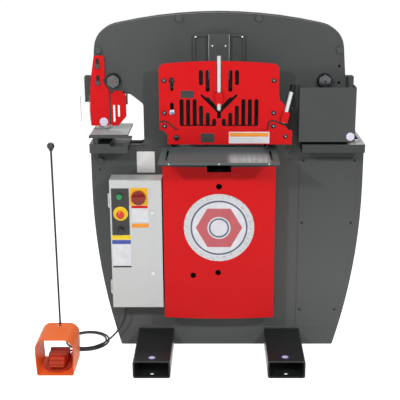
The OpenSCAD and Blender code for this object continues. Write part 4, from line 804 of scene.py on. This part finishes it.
for side in ("left", "right"):
    tube = "base_tube_" + side
    x0 = left(tube) + WELD_IN
    x1 = right(tube) - WELD_IN
    z = TUBE_TOP + WELD_IN
    for end, y in (("front", PLATE - WELD_IN), ("rear", back("rear_plate") + WELD_IN)):
        weld("weld_%s_%s" % (end, side), (x0, y, z), (x1, y, z))


# Small screws of the stroke stop, the table and the frame
DOME = 0.55
DIMPLE = 0.5


def screw_head(name, x, z, r, y, mat=m_bright_and_glint, n=20, steps=5):
    """Domed head with a dimple in its middle."""
    bm = bmesh.new()
    rows = []
    for k in range(steps):
        rise = math.radians(90 * k / steps)
        row_r = r * math.cos(rise)
        rows.append([vert(bm, x + row_r * math.cos(a), y - r * DOME * math.sin(rise), z + row_r * math.sin(a))
                     for a in angles(n)])
    middle = vert(bm, x, y - r * DIMPLE, z)
    for a, b in zip(rows, rows[1:]):
        join(bm, a, b)
    for k in range(n):
        bm.faces.new((rows[-1][k], rows[-1][(k + 1) % n], middle))
    return piece(name, bm, mat, "frame", smooth=True)


for i, x in enumerate((-92, 92)):
    screw_head("stop_screw_%d" % i, x, 1330, 4, front("stop_channel"))
for i, x in enumerate((-26, 26)):
    screw_head("stop_cover_screw_%d" % i, x, 1296, 4, front("stop_cover"))
for i, x in enumerate((-192, 0, 192)):
    screw_head("table_screw_%d" % i, x, TABLE_TOP - 6, 3, front("shear_table"))
screw_head("frame_screw", -491, 788, 4.5, PLATE, m_screw)


# Scribed line across the shear table, and edges of the clear shield
def bar(name, x0, x1, z0, z1, y0, y1, mat):
    """Bar with square edges."""
    bm = bmesh.new()
    prism(bm, [(x0, z0), (x1, z0), (x1, z1), (x0, z1)], y0, y1)
    return piece(name, bm, mat, "frame")


EDGE_W = 1.6
EDGE_T = 2.4
bar("table_line", -170, 178, TABLE_TOP + STUCK, TABLE_TOP + 0.25, -288, -286.4, m_inner_and_shade)
for name, x in (("shield_edge_corner", left("punch_shield")), ("shield_edge_front", -524)):
    bar(name, x, x + EDGE_W, 990, 1093, FITTED, FITTED + EDGE_T, m_label_grey)


# Light and floor
def seen_directly(tree, low, high):
    """Value that is high where a camera, mirror or see-through ray lands and low for the light itself."""
    path = tree.nodes.new("ShaderNodeLightPath")
    total = path.outputs["Is Camera Ray"]
    for ray in ("Is Glossy Ray", "Is Transmission Ray"):
        add = tree.nodes.new("ShaderNodeMath")
        add.operation = "ADD"
        add.use_clamp = True
        tree.links.new(total, add.inputs[0])
        tree.links.new(path.outputs[ray], add.inputs[1])
        total = add.outputs[0]
    level = tree.nodes.new("ShaderNodeMapRange")
    level.inputs["To Min"].default_value = low
    level.inputs["To Max"].default_value = high
    tree.links.new(total, level.inputs["Value"])
    return level.outputs["Result"]


SKY_LIGHT = 0.12
FLOOR_GLOW = 0.9
FLOOR_HALF = 60
FLOOR_DROP = 0.0005

world = bpy.data.worlds.new("studio")
scene.world = world
world.use_nodes = True
sky = world.node_tree.nodes["Background"]
sky.inputs["Color"].default_value = (1, 1, 1, 1)
world.node_tree.links.new(seen_directly(world.node_tree, SKY_LIGHT, 1.0), sky.inputs["Strength"])

floor_mat = bpy.data.materials.new("floor")
floor_mat.use_nodes = True
bsdf = floor_mat.node_tree.nodes["Principled BSDF"]
bsdf.inputs["Base Color"].default_value = (0.9, 0.9, 0.9, 1)
bsdf.inputs["Roughness"].default_value = 0.9
bsdf.inputs["Specular IOR Level"].default_value = 0
bsdf.inputs["Emission Color"].default_value = (1, 1, 1, 1)
glow = seen_directly(floor_mat.node_tree, 0, FLOOR_GLOW)
floor_mat.node_tree.links.new(glow, bsdf.inputs["Emission Strength"])
bm = bmesh.new()
bmesh.ops.create_grid(bm, x_segments=4, y_segments=4, size=FLOOR_HALF)
floor_mesh = bpy.data.meshes.new("floor")
bm.to_mesh(floor_mesh)
bm.free()
floor = bpy.data.objects.new("floor", floor_mesh)
floor_mesh.materials.append(floor_mat)
floor.location = (0, 0, -FLOOR_DROP)
scene.collection.objects.link(floor)


def softbox(name, place, aim, size, power):
    """Lamp of a width and height in metres, turned to a point."""
    data = bpy.data.lights.new(name, "AREA")
    data.shape = "RECTANGLE"
    data.size, data.size_y = size
    data.energy = power
    obj = bpy.data.objects.new(name, data)
    obj.location = place
    obj.rotation_euler = (Vector(aim) - Vector(place)).to_track_quat("-Z", "Y").to_euler()
    scene.collection.objects.link(obj)


softbox("key_left", (-1.75, -2.95, 2.5), (0, 0, 0.9), (0.22, 0.22), 40)
softbox("key_right", (1.75, -2.95, 2.5), (0, 0, 0.9), (0.22, 0.22), 40)
softbox("top", (0, -0.2, 4.0), (0, 0, 0.6), (2.5, 2.0), 26)
softbox("front", (0, -3.4, 2.9), (0, 0, 0.7), (1.2, 0.8), 16)
softbox("back", (0, 3.0, 3.2), (0, 0, 0.6), (2.0, 1.5), 22)
softbox("pedal", (-0.8, -0.3, 1.9), (-0.66, -0.25, 0.1), (0.4, 0.4), 3.8)
softbox("fill_left", (-1.6, -1.3, 0.15), (-0.3, 0, 0.45), (1.2, 0.25), 2)
softbox("fill_right", (1.6, -1.3, 0.15), (0.4, 0, 0.45), (1.2, 0.25), 4)
